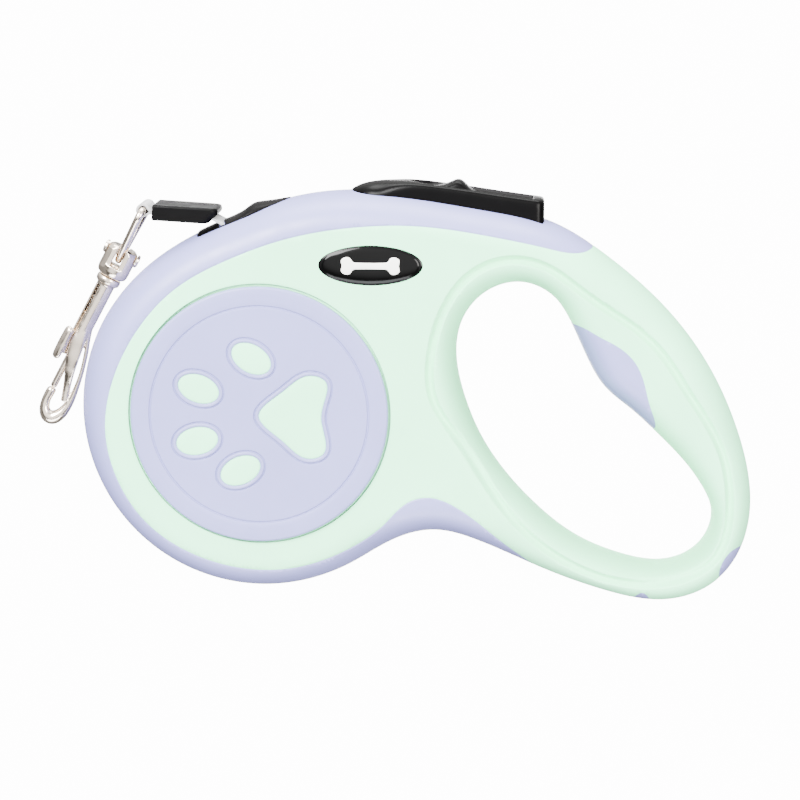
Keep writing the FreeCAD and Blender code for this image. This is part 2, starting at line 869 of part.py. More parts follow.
def folded_tape():
    """The tape's end: out of the mouth, doubled inside the sleeve, looped round the link's bar."""
    half_width = TAPE_WIDTH / 2
    half = TAPE_THICKNESS / 2
    tongue = block(-3.2, -0.1, -half_width, half_width, -half, half)
    tongue.Placement = EXIT_FRAME
    bar = SLEEVE_FRAME.inverse().multVec(BAR)
    doubled = block(bar.x + 1.3, 7.3, -half_width, half_width, -FOLDED_HALF, FOLDED_HALF)
    doubled.Placement = SLEEVE_FRAME
    loop = tube_y(BAR.x, BAR.z, LOOP_INNER + TAPE_THICKNESS, 0, -half_width, half_width)
    hollow = tube_y(BAR.x, BAR.z, LOOP_INNER, 0, -half_width, half_width)
    return doubled.fuse([tongue, loop]).cut(hollow).removeSplitter()


def make_tape_end():
    tape = folded_tape()
    shape_node("tape_end", tape)
    half_width = value("sleeve_half_width")
    sleeve = prism(polygon(SLEEVE_PROFILE), -half_width, half_width)
    corners = []
    ridges = []
    for edge in sleeve.Edges:
        box = edge.BoundBox
        if box.YLength > 1:
            continue
        if box.XMin > 6 and abs(box.ZMax - box.ZMin) > 1:
            corners.append(edge)
    sleeve = sleeve.makeChamfer(SLEEVE_CORNER, corners)
    for edge in sleeve.Edges:
        box = edge.BoundBox
        if box.YLength < 0.01 and box.XLength > 10:
            ridges.append(edge)
    sleeve = sleeve.makeFillet(SLEEVE_ROUND, ridges)
    sleeve.Placement = SLEEVE_FRAME
    shape_node("end_sleeve", sleeve.cut(tape))


# ---------------------------------------------------------------- brake

LEVER_PROFILE = [
    (24.2, 56.2),
    (36.0, 55.6),
    (45.0, 54.9),
    (60.0, 52.0),
    (75.0, 48.2),
    (75.0, 56.1),
    (74.4, 56.6),
    (63.5, 57.8),
    (47.6, 59.4),
    (41.8, 60.1),
    (38.0, 61.4),
    (31.8, 61.6),
    (26.5, 60.8),
    (24.2, 59.2),
]
# the thumb recess drops this profile's lower line between the lever's side rims
RECESS = [(39.5, 64.0), (41.5, 59.3), (72.5, 55.95), (74.0, 64.0)]
RECESS_WIDTH = 9.2
LOCK_SLOT = [(45.0, 65.0), (45.0, 50.0), (54.9, 50.0), (54.9, 65.0)]
LOCK_SLOT_WIDTH = 3.4
LEVER_HUB = 3.0
LEG = (36.2, 38.2)
LEG_FOOT = 36.16
PAWL_PLANE = (6.4, 8.2)
PAWL_PROFILE = [
    (14.4, 44.8),
    (13.7, 39.0),
    (16.1, 38.05),
    (17.4, 41.8),
    (26.0, 38.0),
    (36.0, 31.4),
    (42.2, 25.2),
    (46.0, 24.3),
    (48.0, 28.0),
    (46.0, 30.6),
    (37.2, 35.5),
    (26.0, 41.9),
    (16.0, 45.4),
]
HUMP_PROFILE = [
    (46.0, 58.95),
    (56.1, 57.85),
    (55.6, 58.6),
    (54.2, 61.0),
    (53.2, 61.7),
    (52.0, 61.7),
    (49.4, 60.6),
    (46.8, 59.5),
]
HUMP_WIDTH = 8.4
STEM = (49.3, 54.3)
FOOT_PROFILE = [(48.3, 50.6), (55.3, 49.8), (55.3, 51.5), (48.3, 52.3)]
FOOT_WIDTH = 8.0


def make_brake_lever():
    body = new_body("brake_lever")
    side = sketch_on(body, "lever_side")
    draw_polygon(side, LEVER_PROFILE)
    pad(body, "lever_bar", side, "Dimensions.lever_half_width * 2")
    hub = sketch_on(body, "lever_hub_side")
    draw_circle(hub, "Dimensions.lever_pin_x", "Dimensions.lever_pin_z", LEVER_HUB)
    pad(body, "lever_hub", hub, 11.0)
    leg_top = sketch_on(body, "lever_leg_top", y=5.45)
    low, high = LEG
    draw_polygon(leg_top, [(low, 48.0), (high, 48.0), (high, 56.0), (low, 56.0)])
    pad(body, "lever_leg_upper", leg_top, 1.9)
    leg_low = sketch_on(body, "lever_leg_low", y=6.25)
    draw_polygon(leg_low, [(low, LEG_FOOT), (high, LEG_FOOT), (high, 50.0), (low, 50.0)])
    pad(body, "lever_leg_lower", leg_low, 3.5)
    recess = sketch_on(body, "lever_recess")
    draw_polygon(recess, RECESS)
    pocket(body, "lever_recess_cut", recess, RECESS_WIDTH)
    slot = sketch_on(body, "lever_slot")
    draw_polygon(slot, LOCK_SLOT)
    pocket(body, "lever_slot_cut", slot, LOCK_SLOT_WIDTH)
    bore = sketch_on(body, "lever_bore")
    draw_circle(
        bore,
        "Dimensions.lever_pin_x",
        "Dimensions.lever_pin_z",
        "Dimensions.pin_radius + Dimensions.running_gap",
    )
    pocket(body, "lever_bore_cut", bore)
    node(body, "brake_lever")


def make_lock_slider():
    body = new_body("lock_slider")
    hump = sketch_on(body, "hump_side")
    draw_polygon(hump, HUMP_PROFILE)
    pad(body, "hump", hump, HUMP_WIDTH)
    stem = sketch_on(body, "stem_side")
    low, high = STEM
    draw_polygon(stem, [(low, 51.0), (high, 51.0), (high, 59.0), (low, 59.0)])
    pad(body, "stem", stem, 3.0)
    foot = sketch_on(body, "foot_side")
    draw_polygon(foot, FOOT_PROFILE)
    pad(body, "foot", foot, FOOT_WIDTH)
    node(body, "lock_slider")


def make_brake_pawl():
    body = new_body("brake_pawl")
    low, high = PAWL_PLANE
    arm = sketch_on(body, "pawl_side", y=(low + high) / 2)
    draw_polygon(arm, PAWL_PROFILE)
    pad(body, "pawl_arm", arm, high - low)
    hub = sketch_on(body, "pawl_hub_side", y=(high - 3.0) / 2)
    draw_circle(hub, "Dimensions.pawl_pin_x", "Dimensions.pawl_pin_z", 3.2)
    pad(body, "pawl_hub", hub, high + 3.0)
    bore = sketch_on(body, "pawl_bore")
    draw_circle(
        bore,
        "Dimensions.pawl_pin_x",
        "Dimensions.pawl_pin_z",
        "Dimensions.pin_radius + Dimensions.running_gap",
    )
    pocket(body, "pawl_bore_cut", bore)
    node(body, "brake_pawl")


def make_brake_pins():
    for label, spot in (("lever_pin", LEVER_PIN), ("pawl_pin", PAWL_PIN)):
        start = at(spot.x, spot.z, -CHAMBER + 0.1)
        length = "Dimensions.chamber_half_depth * 2 - 0.2"
        node(cylinder(label + "_rod", "Dimensions.pin_radius", length, Vector()), label,
             Placement(start, Rotation(AXIS_X, -90)))


LEVER_SPRING_SPOT = (61.5, 42.4)
CLIP_OUTER = 3.9
CLIP_INNER = 3.6
CLIP_LEG = 7.0
CLIP_PLANE = (-2.0, 1.0)


def clip_side(radius):
    """One side of the pawl's clip spring: down a leg, round under the pawl's hub and up the other leg."""
    low, high = PAWL_PIN.z, PAWL_PIN.z + CLIP_LEG
    left, right = PAWL_PIN.x - radius, PAWL_PIN.x + radius
    return [
        Part.makeLine(at(right, high), at(right, low)),
        Part.Arc(at(right, low), at(PAWL_PIN.x, low - radius), at(left, low)).toShape(),
        Part.makeLine(at(left, low), at(left, high)),
    ]


def make_brake_springs():
    lever_spring = coil("lever_coil", 2.6, 0.3, 8.0, 5)
    node(lever_spring, "lever_spring", Placement(at(*LEVER_SPRING_SPOT), Rotation()))
    top = PAWL_PIN.z + CLIP_LEG
    ends = [
        Part.makeLine(
            at(PAWL_PIN.x + side * CLIP_INNER, top), at(PAWL_PIN.x + side * CLIP_OUTER, top)
        )
        for side in (-1, 1)
    ]
    outline = Part.Wire(Part.__sortEdges__(clip_side(CLIP_OUTER) + clip_side(CLIP_INNER) + ends))
    shape_node("pawl_spring", prism(outline, *CLIP_PLANE))


# ---------------------------------------------------------------- link, clevis and snap hook

LINK_HALF_THICKNESS = 1.0
LINK_BAND = 1.95
LINK_ROUND = 0.7
LINK_CIRCLES = [(0.0, 8.0, 2.93), (5.45, 20.0, 3.0), (-5.45, 20.0, 3.0)]
CLEVIS_HALF_X = 4.3
CLEVIS_HALF_Y = 3.6
CLEVIS_LOW = 1.2
CLEVIS_FLOOR = 3.5
CLEVIS_TOP = 9.9
CLEVIS_GAP = 1.35
STEM_HEAD_RADIUS = 2.2
STEM_HEAD = (3.65, 4.75)
COLLAR_RADIUS = 3.4
BARREL_END = -20.0
BORE_END = -4.0
KNOB_TURN = 230.0
HOOK_SHANK = [(1.6, -15.5), (2.7, -20.5), (4.9, -28.0), (6.75, -36.0)]
HOOK_BOW_RADIUS = 3.6
HOOK_TIP = -34.3


def belt(circles):
    """A closed band of arcs and tangents round circles (y, z, radius), counterclockwise."""
    count = len(circles)
    joins = []
    for i in range(count):
        y1, z1, r1 = circles[i]
        y2, z2, r2 = circles[(i + 1) % count]
        heading = math.atan2(z2 - z1, y2 - y1)
        side = heading - math.acos((r1 - r2) / math.hypot(y2 - y1, z2 - z1))
        joins.append(side)
    edges = []
    for i in range(count):
        y, z, r = circles[i]
        arrive = joins[i - 1]
        leave = joins[i]
        while leave < arrive:
            leave += 2 * math.pi
        spots = [on_circle(y, z, r, a) for a in (arrive, (arrive + leave) / 2, leave)]
        edges.append(Part.Arc(*spots).toShape())
        y2, z2, r2 = circles[(i + 1) % count]
        edges.append(Part.LineSegment(spots[2], on_circle(y2, z2, r2, joins[i])).toShape())
    return Part.Wire(edges)


def on_circle(y, z, radius, angle):
    return Vector(0, y + radius * math.cos(angle), z + radius * math.sin(angle))


def make_eye_link():
    outer = Part.Face(belt(LINK_CIRCLES))
    inner = Part.Face(belt([(y, z, r - LINK_BAND) for y, z, r in LINK_CIRCLES]))
    thickness = Vector(2 * LINK_HALF_THICKNESS, 0, 0)
    plate = outer.extrude(thickness).cut(inner.extrude(thickness))
    plate.translate(Vector(-LINK_HALF_THICKNESS, 0, 0))
    rims = [e for e in plate.Edges if e.BoundBox.XLength < 1e-3]
    shape_node("eye_link", plate.makeFillet(LINK_ROUND, rims), SNAP_FRAME)


def cylinder_z(radius, low, high):
    return Part.makeCylinder(radius, high - low, Vector(0, 0, low))


def make_clevis():
    block_solid = block(
        -CLEVIS_HALF_X, CLEVIS_HALF_X, -CLEVIS_HALF_Y, CLEVIS_HALF_Y, CLEVIS_LOW, CLEVIS_TOP
    )
    upright = [e for e in block_solid.Edges if e.BoundBox.ZLength > 5]
    block_solid = block_solid.makeFillet(1.6, upright)
    crown = [
        e
        for e in block_solid.Edges
        if e.BoundBox.ZMin > CLEVIS_TOP - 0.01 and e.BoundBox.XLength > 1
    ]
    block_solid = block_solid.makeFillet(0.9, crown)
    pin_height = value("clevis_pin_height")
    pin_radius = value("clevis_pin_radius")
    gap = block(-CLEVIS_GAP, CLEVIS_GAP, -6, 6, CLEVIS_FLOOR, 20)
    chamber_cut = cylinder_z(STEM_HEAD_RADIUS + 0.15, CLEVIS_FLOOR, STEM_HEAD[1] + 0.2)
    stem_hole = cylinder_z(value("stem_radius") + RUNNING_GAP, 0, CLEVIS_FLOOR + 1)
    pin_hole = Part.makeCylinder(pin_radius, 12, Vector(-6, 0, pin_height), AXIS_X)
    solid = block_solid.cut([gap, chamber_cut, stem_hole, pin_hole])
    shape_node("swivel_clevis", solid, SNAP_FRAME)
    pin = Part.makeCylinder(pin_radius, 2 * CLEVIS_HALF_X, Vector(-CLEVIS_HALF_X, 0, pin_height), AXIS_X)
    heads = []
    for start in (-CLEVIS_HALF_X - 0.7, CLEVIS_HALF_X):
        heads.append(Part.makeCylinder(1.5, 0.7, Vector(start, 0, pin_height), AXIS_X))
    shape_node("clevis_pin", pin.fuse(heads).removeSplitter(), SNAP_FRAME)


def hook_path():
    shank = Part.BSplineCurve()
    spots = [at(x, z) for x, z in HOOK_SHANK]
    shank.interpolate(Points=spots, InitialTangent=at(0.25, -1.0), FinalTangent=at(0, -1.0))
    end = spots[-1]
    bottom = at(end.x - HOOK_BOW_RADIUS, end.z - HOOK_BOW_RADIUS)
    far = at(end.x - 2 * HOOK_BOW_RADIUS, end.z)
    bow = Part.Arc(end, bottom, far)
    tip = Part.LineSegment(far, at(far.x, HOOK_TIP))
    return Part.Wire([shank.toShape(), bow.toShape(), tip.toShape()])


def turned_out(solid):
    """Turns a piece drawn towards +X to the side that the thumb knob faces."""
    solid.rotate(Vector(0, 0, 0), AXIS_Z, KNOB_TURN)
    return solid


def make_snap_body():
    path = hook_path()
    start = at(*HOOK_SHANK[0])
    along = path.Edges[0].tangentAt(path.Edges[0].FirstParameter)
    ring = Part.Wire(Part.Circle(start, along, value("hook_wire")).toShape())
    hook = path.makePipeShell([ring], True, False)
    low, high = STEM_HEAD
    pieces = [
        cylinder_z(value("barrel_radius"), BARREL_END, 0),
        cylinder_z(COLLAR_RADIUS, -1.0, 1.0),
        cylinder_z(value("stem_radius"), 0, high),
        cylinder_z(STEM_HEAD_RADIUS, low, high),
    ]
    solid = pieces[0].fuse(pieces[1:] + [hook])
    bore = cylinder_z(value("barrel_bore"), HOOK_TIP, BORE_END)
    slot = turned_out(block(0, 3.2, -0.85, 0.85, HOOK_TIP, -9.8))
    shape_node("snap_body", solid.cut([bore, slot]), SNAP_FRAME)


def make_snap_bolt():
    rod = cylinder_z(value("bolt_radius"), HOOK_TIP + 0.15, -10.5)
    neck = turned_out(block(0, 3.0, -0.7, 0.7, -24.0, -17.0))
    thumb = block(2.75, 4.0, -1.6, 1.6, -25.0, -16.0)
    thumb = turned_out(thumb.makeFillet(0.5, thumb.Edges))
    shape_node("snap_bolt", rod.fuse([neck, thumb]).removeSplitter(), SNAP_FRAME)
    spring = coil("bolt_coil", 0.98, 0.14, 5.9, 9)
    node(spring, "bolt_spring", SNAP_FRAME.multiply(Placement(Vector(0, 0, -10.3), Rotation())))


# ---------------------------------------------------------------- casing screws


def make_case_screws():
    screws = []
    for x, z in SCREW_SPOTS:
        head = tube_y(x, z, HEAD_RADIUS, 0, HEAD_SEAT, HEAD_SEAT + HEAD_HEIGHT)
        shank = tube_y(x, z, SCREW_RADIUS, 0, SCREW_TIP, HEAD_SEAT)
        screws.append(head.fuse(shank).removeSplitter())
    shape_node("case_screws", Part.makeCompound(screws))


# ---------------------------------------------------------------- build, test and write


def main():
    for side, side_name in ((-1, "front"), (1, "rear")):
        make_half(side, side_name)
        make_side_disc(side, side_name)
        make_badge(side, side_name)
    make_tape_outlet()
    make_reel()
    make_reel_cheek()
    make_cheek_screws()
    make_wound_tape()
    make_power_spring()
    make_arbor()
    make_tape_run()
    make_tape_end()
    make_brake_lever()
    make_lock_slider()
    make_brake_pawl()
    make_brake_pins()
    make_brake_springs()
    make_eye_link()
    make_clevis()
    make_snap_body()
    make_snap_bolt()
    make_case_screws()
    doc.recompute()
    for thing in doc.Objects:
        if "Invalid" in thing.State or "Error" in thing.State:
            raise RuntimeError("%s failed: %s" % (thing.Label, thing.State))
    for thing in NODES:
        if thing.Shape.isNull() or not thing.Shape.isValid():
            raise RuntimeError("%s has no valid shape" % thing.Label)
    os.makedirs("parts", exist_ok=True)
    for thing in NODES:
        thing.Shape.exportStep("parts/%s.step" % thing.Label)
        solids = len(thing.Shape.Solids)
        print("%-16s %2d solid(s) %9.1f mm3" % (thing.Label, solids, thing.Shape.Volume))


main()
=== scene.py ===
"""The looks of the retractable leash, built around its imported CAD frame.

Shapes are drawn in millimetres in the reel's own frame: x from the reel towards the handle, y from the front
face to the rear face, z up. The snap hook is drawn in its own frame, whose z axis runs up through the swivel.
"""

import json
import math

import bmesh
import bpy
import numpy as np
from mathutils import Matrix, Vector, geometry, kdtree


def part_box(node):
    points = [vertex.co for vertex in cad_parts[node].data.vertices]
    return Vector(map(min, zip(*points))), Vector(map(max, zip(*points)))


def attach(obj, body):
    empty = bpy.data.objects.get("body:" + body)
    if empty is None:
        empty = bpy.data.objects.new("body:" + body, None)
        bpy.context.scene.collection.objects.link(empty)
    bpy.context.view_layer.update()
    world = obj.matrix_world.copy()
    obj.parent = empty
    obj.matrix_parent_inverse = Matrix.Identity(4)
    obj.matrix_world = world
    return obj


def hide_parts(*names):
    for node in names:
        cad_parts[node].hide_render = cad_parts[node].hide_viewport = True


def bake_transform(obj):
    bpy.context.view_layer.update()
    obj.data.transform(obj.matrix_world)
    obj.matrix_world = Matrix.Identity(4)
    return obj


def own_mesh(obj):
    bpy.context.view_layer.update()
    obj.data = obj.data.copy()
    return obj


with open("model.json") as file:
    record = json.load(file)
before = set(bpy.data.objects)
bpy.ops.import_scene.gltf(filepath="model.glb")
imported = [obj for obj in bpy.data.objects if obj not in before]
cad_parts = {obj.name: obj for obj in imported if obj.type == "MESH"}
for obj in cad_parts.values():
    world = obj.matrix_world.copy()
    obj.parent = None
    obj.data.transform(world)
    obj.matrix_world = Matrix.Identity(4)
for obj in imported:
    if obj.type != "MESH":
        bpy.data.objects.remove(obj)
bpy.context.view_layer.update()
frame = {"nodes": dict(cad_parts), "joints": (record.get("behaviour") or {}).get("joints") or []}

# ---------------- places read from the frame

MM = 0.001
reel_low, reel_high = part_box("wound_tape")
REEL = (reel_low + reel_high) / 2
REEL_FRAME = Matrix.Translation(REEL) @ Matrix.Scale(MM, 4)


def joint(name):
    return next(j for j in frame["joints"] if j["name"] == name)


def frame_about(origin, up):
    """Millimetres to the row frame, with z along up and y across the casing."""
    z_axis = Vector(up).normalized()
    y_axis = Vector((0, 1, 0))
    turn = Matrix((y_axis.cross(z_axis), y_axis, z_axis)).transposed().to_4x4()
    return Matrix.Translation(Vector(origin)) @ turn @ Matrix.Scale(MM, 4)


SNAP_FRAME = frame_about(joint("swivel_spin")["pos_m"], joint("swivel_spin")["axis"])
TO_REEL = REEL_FRAME.inverted()
PULL = Vector(joint("tape_pull")["axis"])
BAR = TO_REEL @ Vector(joint("link_swing")["pos_m"])
# where the tape leaves the outlet, and the middle of the end sleeve
MOUTH = Vector((-10.8, 0, 49.8))
SLEEVE_MIDDLE = (-20.4, 0, 52.2)
SLEEVE_TILT = math.radians(3.5)
SLEEVE_FRAME = REEL_FRAME @ Matrix.Translation(SLEEVE_MIDDLE) @ Matrix.Rotation(SLEEVE_TILT, 4, "Y")

# ---------------- outlines of the casing

BODY_RADIUS = 49.0
ROUND_START = 128
ROUND_END = 300
ROUND_STEPS = 9
HANDLE_AND_TOP = [
    (35.0, -36.3), (46.3, -33.4), (58.0, -36.2), (75.0, -43.3), (92.0, -49.2), (109.0, -51.6),
    (122.0, -46.6), (129.6, -35.5), (131.2, -22.0), (127.8, -6.5), (120.0, 11.0), (107.5, 27.6),
    (92.0, 41.1), (77.4, 50.0), (58.5, 54.6), (38.0, 57.7), (20.0, 58.2), (6.5, 56.0),
    (-5.5, 51.8), (-17.0, 46.9),
]
FINGER_HOLE = [
    (120.9, -28.0), (118.0, -20.5), (112.4, -13.0), (105.5, -6.0), (98.5, 0.4), (91.6, 6.3),
    (87.4, 13.0), (83.0, 22.5), (78.0, 30.3), (69.5, 34.3), (60.0, 31.7), (53.6, 24.0),
    (52.0, 13.0), (54.4, 2.0), (59.4, -9.6), (66.2, -19.4), (74.5, -28.2), (85.0, -36.3),
    (97.5, -41.4), (109.0, -42.6), (117.6, -38.0),
]
LIP_GROOVE = [
    (125.1, -24.8), (122.4, -8.6), (113.3, 6.8), (107.8, 15.2), (100.1, 23.0), (91.0, 29.2), (84.0, 34.2),
    (76.5, 39.4), (66.1, 41.6), (56.0, 37.6), (49.9, 30.0), (46.0, 18.6), (46.4, 4.0), (53.0, -6.6),
    (64.1, -23.6), (80.2, -38.6), (101.6, -45.5), (109.6, -44.9), (121.4, -38.5),
]
# edge of the soft overmould on the round body, from the top of the handle round to its bottom
SKIN_EDGE = [
    (93.0, 47.0), (89.5, 44.4), (86.0, 43.2), (80.5, 43.5), (76.0, 44.6), (69.0, 46.2), (58.5, 48.2),
    (48.0, 49.8), (37.5, 50.5), (27.0, 50.1), (16.0, 48.7), (5.0, 46.1), (-8.0, 41.2), (-22.0, 33.4),
    (-32.4, 22.1), (-39.4, 7.7), (-41.3, -5.3), (-38.0, -18.9), (-31.0, -29.6), (-19.8, -37.6),
    (-5.7, -42.0), (10.5, -41.6), (21.3, -37.8), (28.0, -34.0), (33.5, -29.4), (37.4, -25.2), (41.0, -22.9),
    (46.0, -22.3), (52.1, -24.6), (59.0, -29.6), (66.0, -35.6), (72.0, -40.6), (78.0, -47.5),
]
# where the hard shell shows through the overmould on the handle
BARE_PATCHES = [
    [(83.1, 23.7), (89.4, 21.6), (95.6, 18.2), (99.8, 14.0), (102.3, 7.8), (103.7, 2.4), (104.8, -4.5),
     (100.0, -5.0), (90.0, 0.0), (82.0, 12.0), (80.0, 22.0)],
    [(127.2, -35.8), (124.6, -37.6), (122.9, -41.2), (123.2, -44.8), (127.0, -45.0), (132.0, -38.0)],
    [(100.0, -50.0), (102.3, -48.0), (104.3, -50.2), (104.5, -53.5), (99.5, -53.0)],
]
SCREW_SPOTS = [(-40.6, 14.8), (-35.4, -24.8), (46.0, -24.5), (88.5, 33.0), (126.0, -27.0)]

HALF_DEPTH = 15.0
HANDLE_HALF_DEPTH = 13.4
TAPER_START = 48
TAPER_LENGTH = 60
# how far the rounded edges reach in from the silhouette and from the finger hole, and their greatest
# share of the width between the two
RIM_REACH = 9.5
RIM_SHARE = 0.6
LIP_REACH = 7.5
LIP_SHARE = 0.42
ROUNDNESS = 2.3
SEAM_GAP = 0.08
SKIN_THICKNESS = 1.2
LIP_GROOVE_DEPTH = 1.5
LIP_GROOVE_HALF = 1.4
PARTING_DEPTH = 0.16
PARTING_HALF = 0.4
# the groove round the side disc, and the deeper well that the disc sits in: radius, wall and depth
RIM_GAP_RADIUS = 34.75
RIM_GAP_WALL = 0.3
RIM_GAP_DEPTH = 0.85
WELL_RADIUS = 33.9
WELL_WALL = 0.25
WELL_DEPTH = 2.6
SCREW_HOLE = 2.3
SCREW_HOLE_WALL = 0.3
SCREW_SINK = 1.9


def lengths(rows):
    return np.linalg.norm(rows, axis=1)


def unit(rows):
    return rows / lengths(rows)[:, None]


def closed_curve(points, count):
    """A smooth closed curve through the points, given as count points along it."""
    p = np.array(points, float)
    ahead = np.roll(p, -1, axis=0)
    chord = lengths(ahead - p)
    knots = np.concatenate([[0], np.cumsum(chord)])
    number = len(p)
    system = np.zeros((number, number))
    slopes = np.zeros((number, 2))
    for i in range(number):
        before, after = chord[i - 1], chord[i]
        system[i, i - 1] = before
        system[i, i] = 2 * (before + after)
        system[i, (i + 1) % number] = after
        slopes[i] = 6 * ((ahead[i] - p[i]) / after - (p[i] - p[i - 1]) / before)
    bend = np.linalg.solve(system, slopes)
    along = np.linspace(0, knots[-1], count, endpoint=False)
    k = np.searchsorted(knots, along, side="right") - 1
    span = chord[k][:, None]
    left = (knots[k + 1] - along)[:, None]
    right = (along - knots[k])[:, None]
    bend_next = np.roll(bend, -1, axis=0)
    cubic = (bend[k] * left**3 + bend_next[k] * right**3) / (6 * span)
    ends = (p[k] / span - bend[k] * span / 6) * left + (ahead[k] / span - bend_next[k] * span / 6) * right
    return cubic + ends


def open_curve(points, count):
    """A smooth open curve through the points: a closed one without its way back, out to the right."""
    first, last = np.array(points[0], float), np.array(points[-1], float)
    detour = (first + last) / 2 + np.array([60.0, 0.0])
    ring = closed_curve([*points, tuple(detour)], 6 * count)
    start = lengths(ring - first).argmin()
    end = lengths(ring - last).argmin()
    return ring[np.linspace(start, end, count).astype(int)]


def outward(ring):
    """Unit normals to the right of a closed polyline, which is outwards if it runs counterclockwise."""
    along = unit(np.roll(ring, -1, axis=0) - np.roll(ring, 1, axis=0))
    return np.stack([along[:, 1], -along[:, 0]], axis=1)


def nearest(p, line, closed=True):
    """Distance from each point to a polyline, positive on its left."""
    a = line if closed else line[:-1]
    b = np.roll(line, -1, axis=0) if closed else line[1:]
    edge = b - a
    square = (edge**2).sum(1)
    found = np.empty(len(p))
    for start in range(0, len(p), 2000):
        away = p[start:start + 2000, None] - a
        share = np.clip((away * edge).sum(2) / square, 0, 1)
        gap = away - share[..., None] * edge
        length = np.linalg.norm(gap, axis=2)
        pick = length.argmin(1)
        row = np.arange(len(pick))
        side = edge[pick, 0] * gap[row, pick, 1] - edge[pick, 1] * gap[row, pick, 0]
        found[start:start + 2000] = length[row, pick] * np.where(side < 0, -1, 1)
    return found


def inside(p, ring):
    """True for each point inside the closed polyline."""
    x, z = p[:, 0:1], p[:, 1:2]
    a, b = ring, np.roll(ring, -1, axis=0)
    rise = np.where(b[:, 1] == a[:, 1], 1e-12, b[:, 1] - a[:, 1])
    meets = a[:, 0] + (z - a[:, 1]) / rise * (b[:, 0] - a[:, 0])
    crosses = (a[:, 1] > z) != (b[:, 1] > z)
    return (crosses & (x < meets)).sum(1) % 2 == 1


def smooth_step(t):
    t = np.clip(t, 0, 1)
    return t * t * (3 - 2 * t)


def around(count):
    """Angles evenly round a full turn."""
    return np.linspace(0, 2 * math.pi, count, endpoint=False)


def step_down(away, radius, wall):
    """1 within a radius, easing to 0 over the wall outside it."""
    return 1 - smooth_step((away - radius) / wall)


def dip(t):
    """1 at the middle of a groove, easing to 0 at its edges, where t is 1."""
    return np.maximum(1 - np.asarray(t) ** 2, 0) ** 2


ROUND_BODY = [
    (BODY_RADIUS * math.cos(angle), BODY_RADIUS * math.sin(angle))
    for angle in np.radians(np.linspace(ROUND_START, ROUND_END, ROUND_STEPS))
]
OUTLINE = closed_curve(ROUND_BODY + HANDLE_AND_TOP, count=460)
HOLE = closed_curve(FINGER_HOLE, count=210)
GROOVE = closed_curve(LIP_GROOVE, count=240)
PARTING = open_curve(SKIN_EDGE, count=260)
PATCHES = [closed_curve(points, count=60) for points in BARE_PATCHES]


# ---------------- meshes


def add_object(name, data):
    thing = bpy.data.objects.new(name, data)
    bpy.context.scene.collection.objects.link(thing)
    return thing


def new_object(name, verts, faces, to_frame=REEL_FRAME, sharp=40):
    """A smooth-shaded mesh from points in millimetres, with its sharp edges kept."""
    mesh = bpy.data.meshes.new(name)
    mesh.from_pydata([to_frame @ Vector(v) for v in verts], [], faces)
    mesh.validate()
    mesh.shade_smooth()
    mesh.set_sharp_from_angle(angle=math.radians(sharp))
    return add_object(name, mesh)


def apply_modifiers(thing):
    """Gives a thing the mesh that its modifiers make."""
    graph = bpy.context.evaluated_depsgraph_get()
    graph.update()
    mesh = bpy.data.meshes.new_from_object(thing.evaluated_get(graph))
    thing.modifiers.clear()
    thing.data = mesh


def finish_piece(thing, body, slot, material, *replaced):
    """A piece's material, the body it rides and the CAD nodes it stands for; the slot is not used."""
    thing.data.materials.clear()
    thing.data.materials.append(material)
    if body:
        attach(thing, body)
    if replaced:
        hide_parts(*replaced)


class Plan:
    """Points and fixed lines of a relief drawn in a plane, and the triangles between them."""

    def __init__(self):
        self.points = []
        self.edges = []

    def row(self, points, closed=True, fixed=False):
        """A row of points; if fixed, the triangles keep its line as an edge."""
        first = len(self.points)
        self.points.extend(map(tuple, points))
        if fixed:
            last = len(self.points)
            self.edges.extend((i, i + 1) for i in range(first, last - 1))
            if closed:
                self.edges.append((last - 1, first))

    def fill(self, low, high, spacing, gap):
        """A grid over the box from low to high, left out where rows are nearer than gap."""
        tree = kdtree.KDTree(len(self.points))
        for i, (x, z) in enumerate(self.points):
            tree.insert((x, z, 0), i)
        tree.balance()
        line = 0
        z = low[1]
        while z < high[1]:
            x = low[0] + (line % 2) * spacing / 2
            while x < high[0]:
                if tree.find((x, z, 0))[2] > gap:
                    self.points.append((x, z))
                x += spacing
            z += spacing * 0.87
            line += 1

    def triangles(self, keep):
        """(points, triangles) with only the triangles whose middles keep() accepts."""
        flat = [Vector(p) for p in self.points]
        points, _, faces, _, _, _ = geometry.delaunay_2d_cdt(flat, self.edges, [], 0, 1e-5)
        points = np.array([tuple(p) for p in points])
        faces = np.array([list(f) for f in faces if len(f) == 3])
        middles = points[faces].mean(1)
        faces = faces[keep(middles)]
        corners = points[faces]
        first, second = corners[:, 1] - corners[:, 0], corners[:, 2] - corners[:, 0]
        area = first[:, 0] * second[:, 1] - first[:, 1] * second[:, 0]
        faces[area < 0] = faces[area < 0][:, ::-1]
        return points, faces[abs(area) > 1e-7]


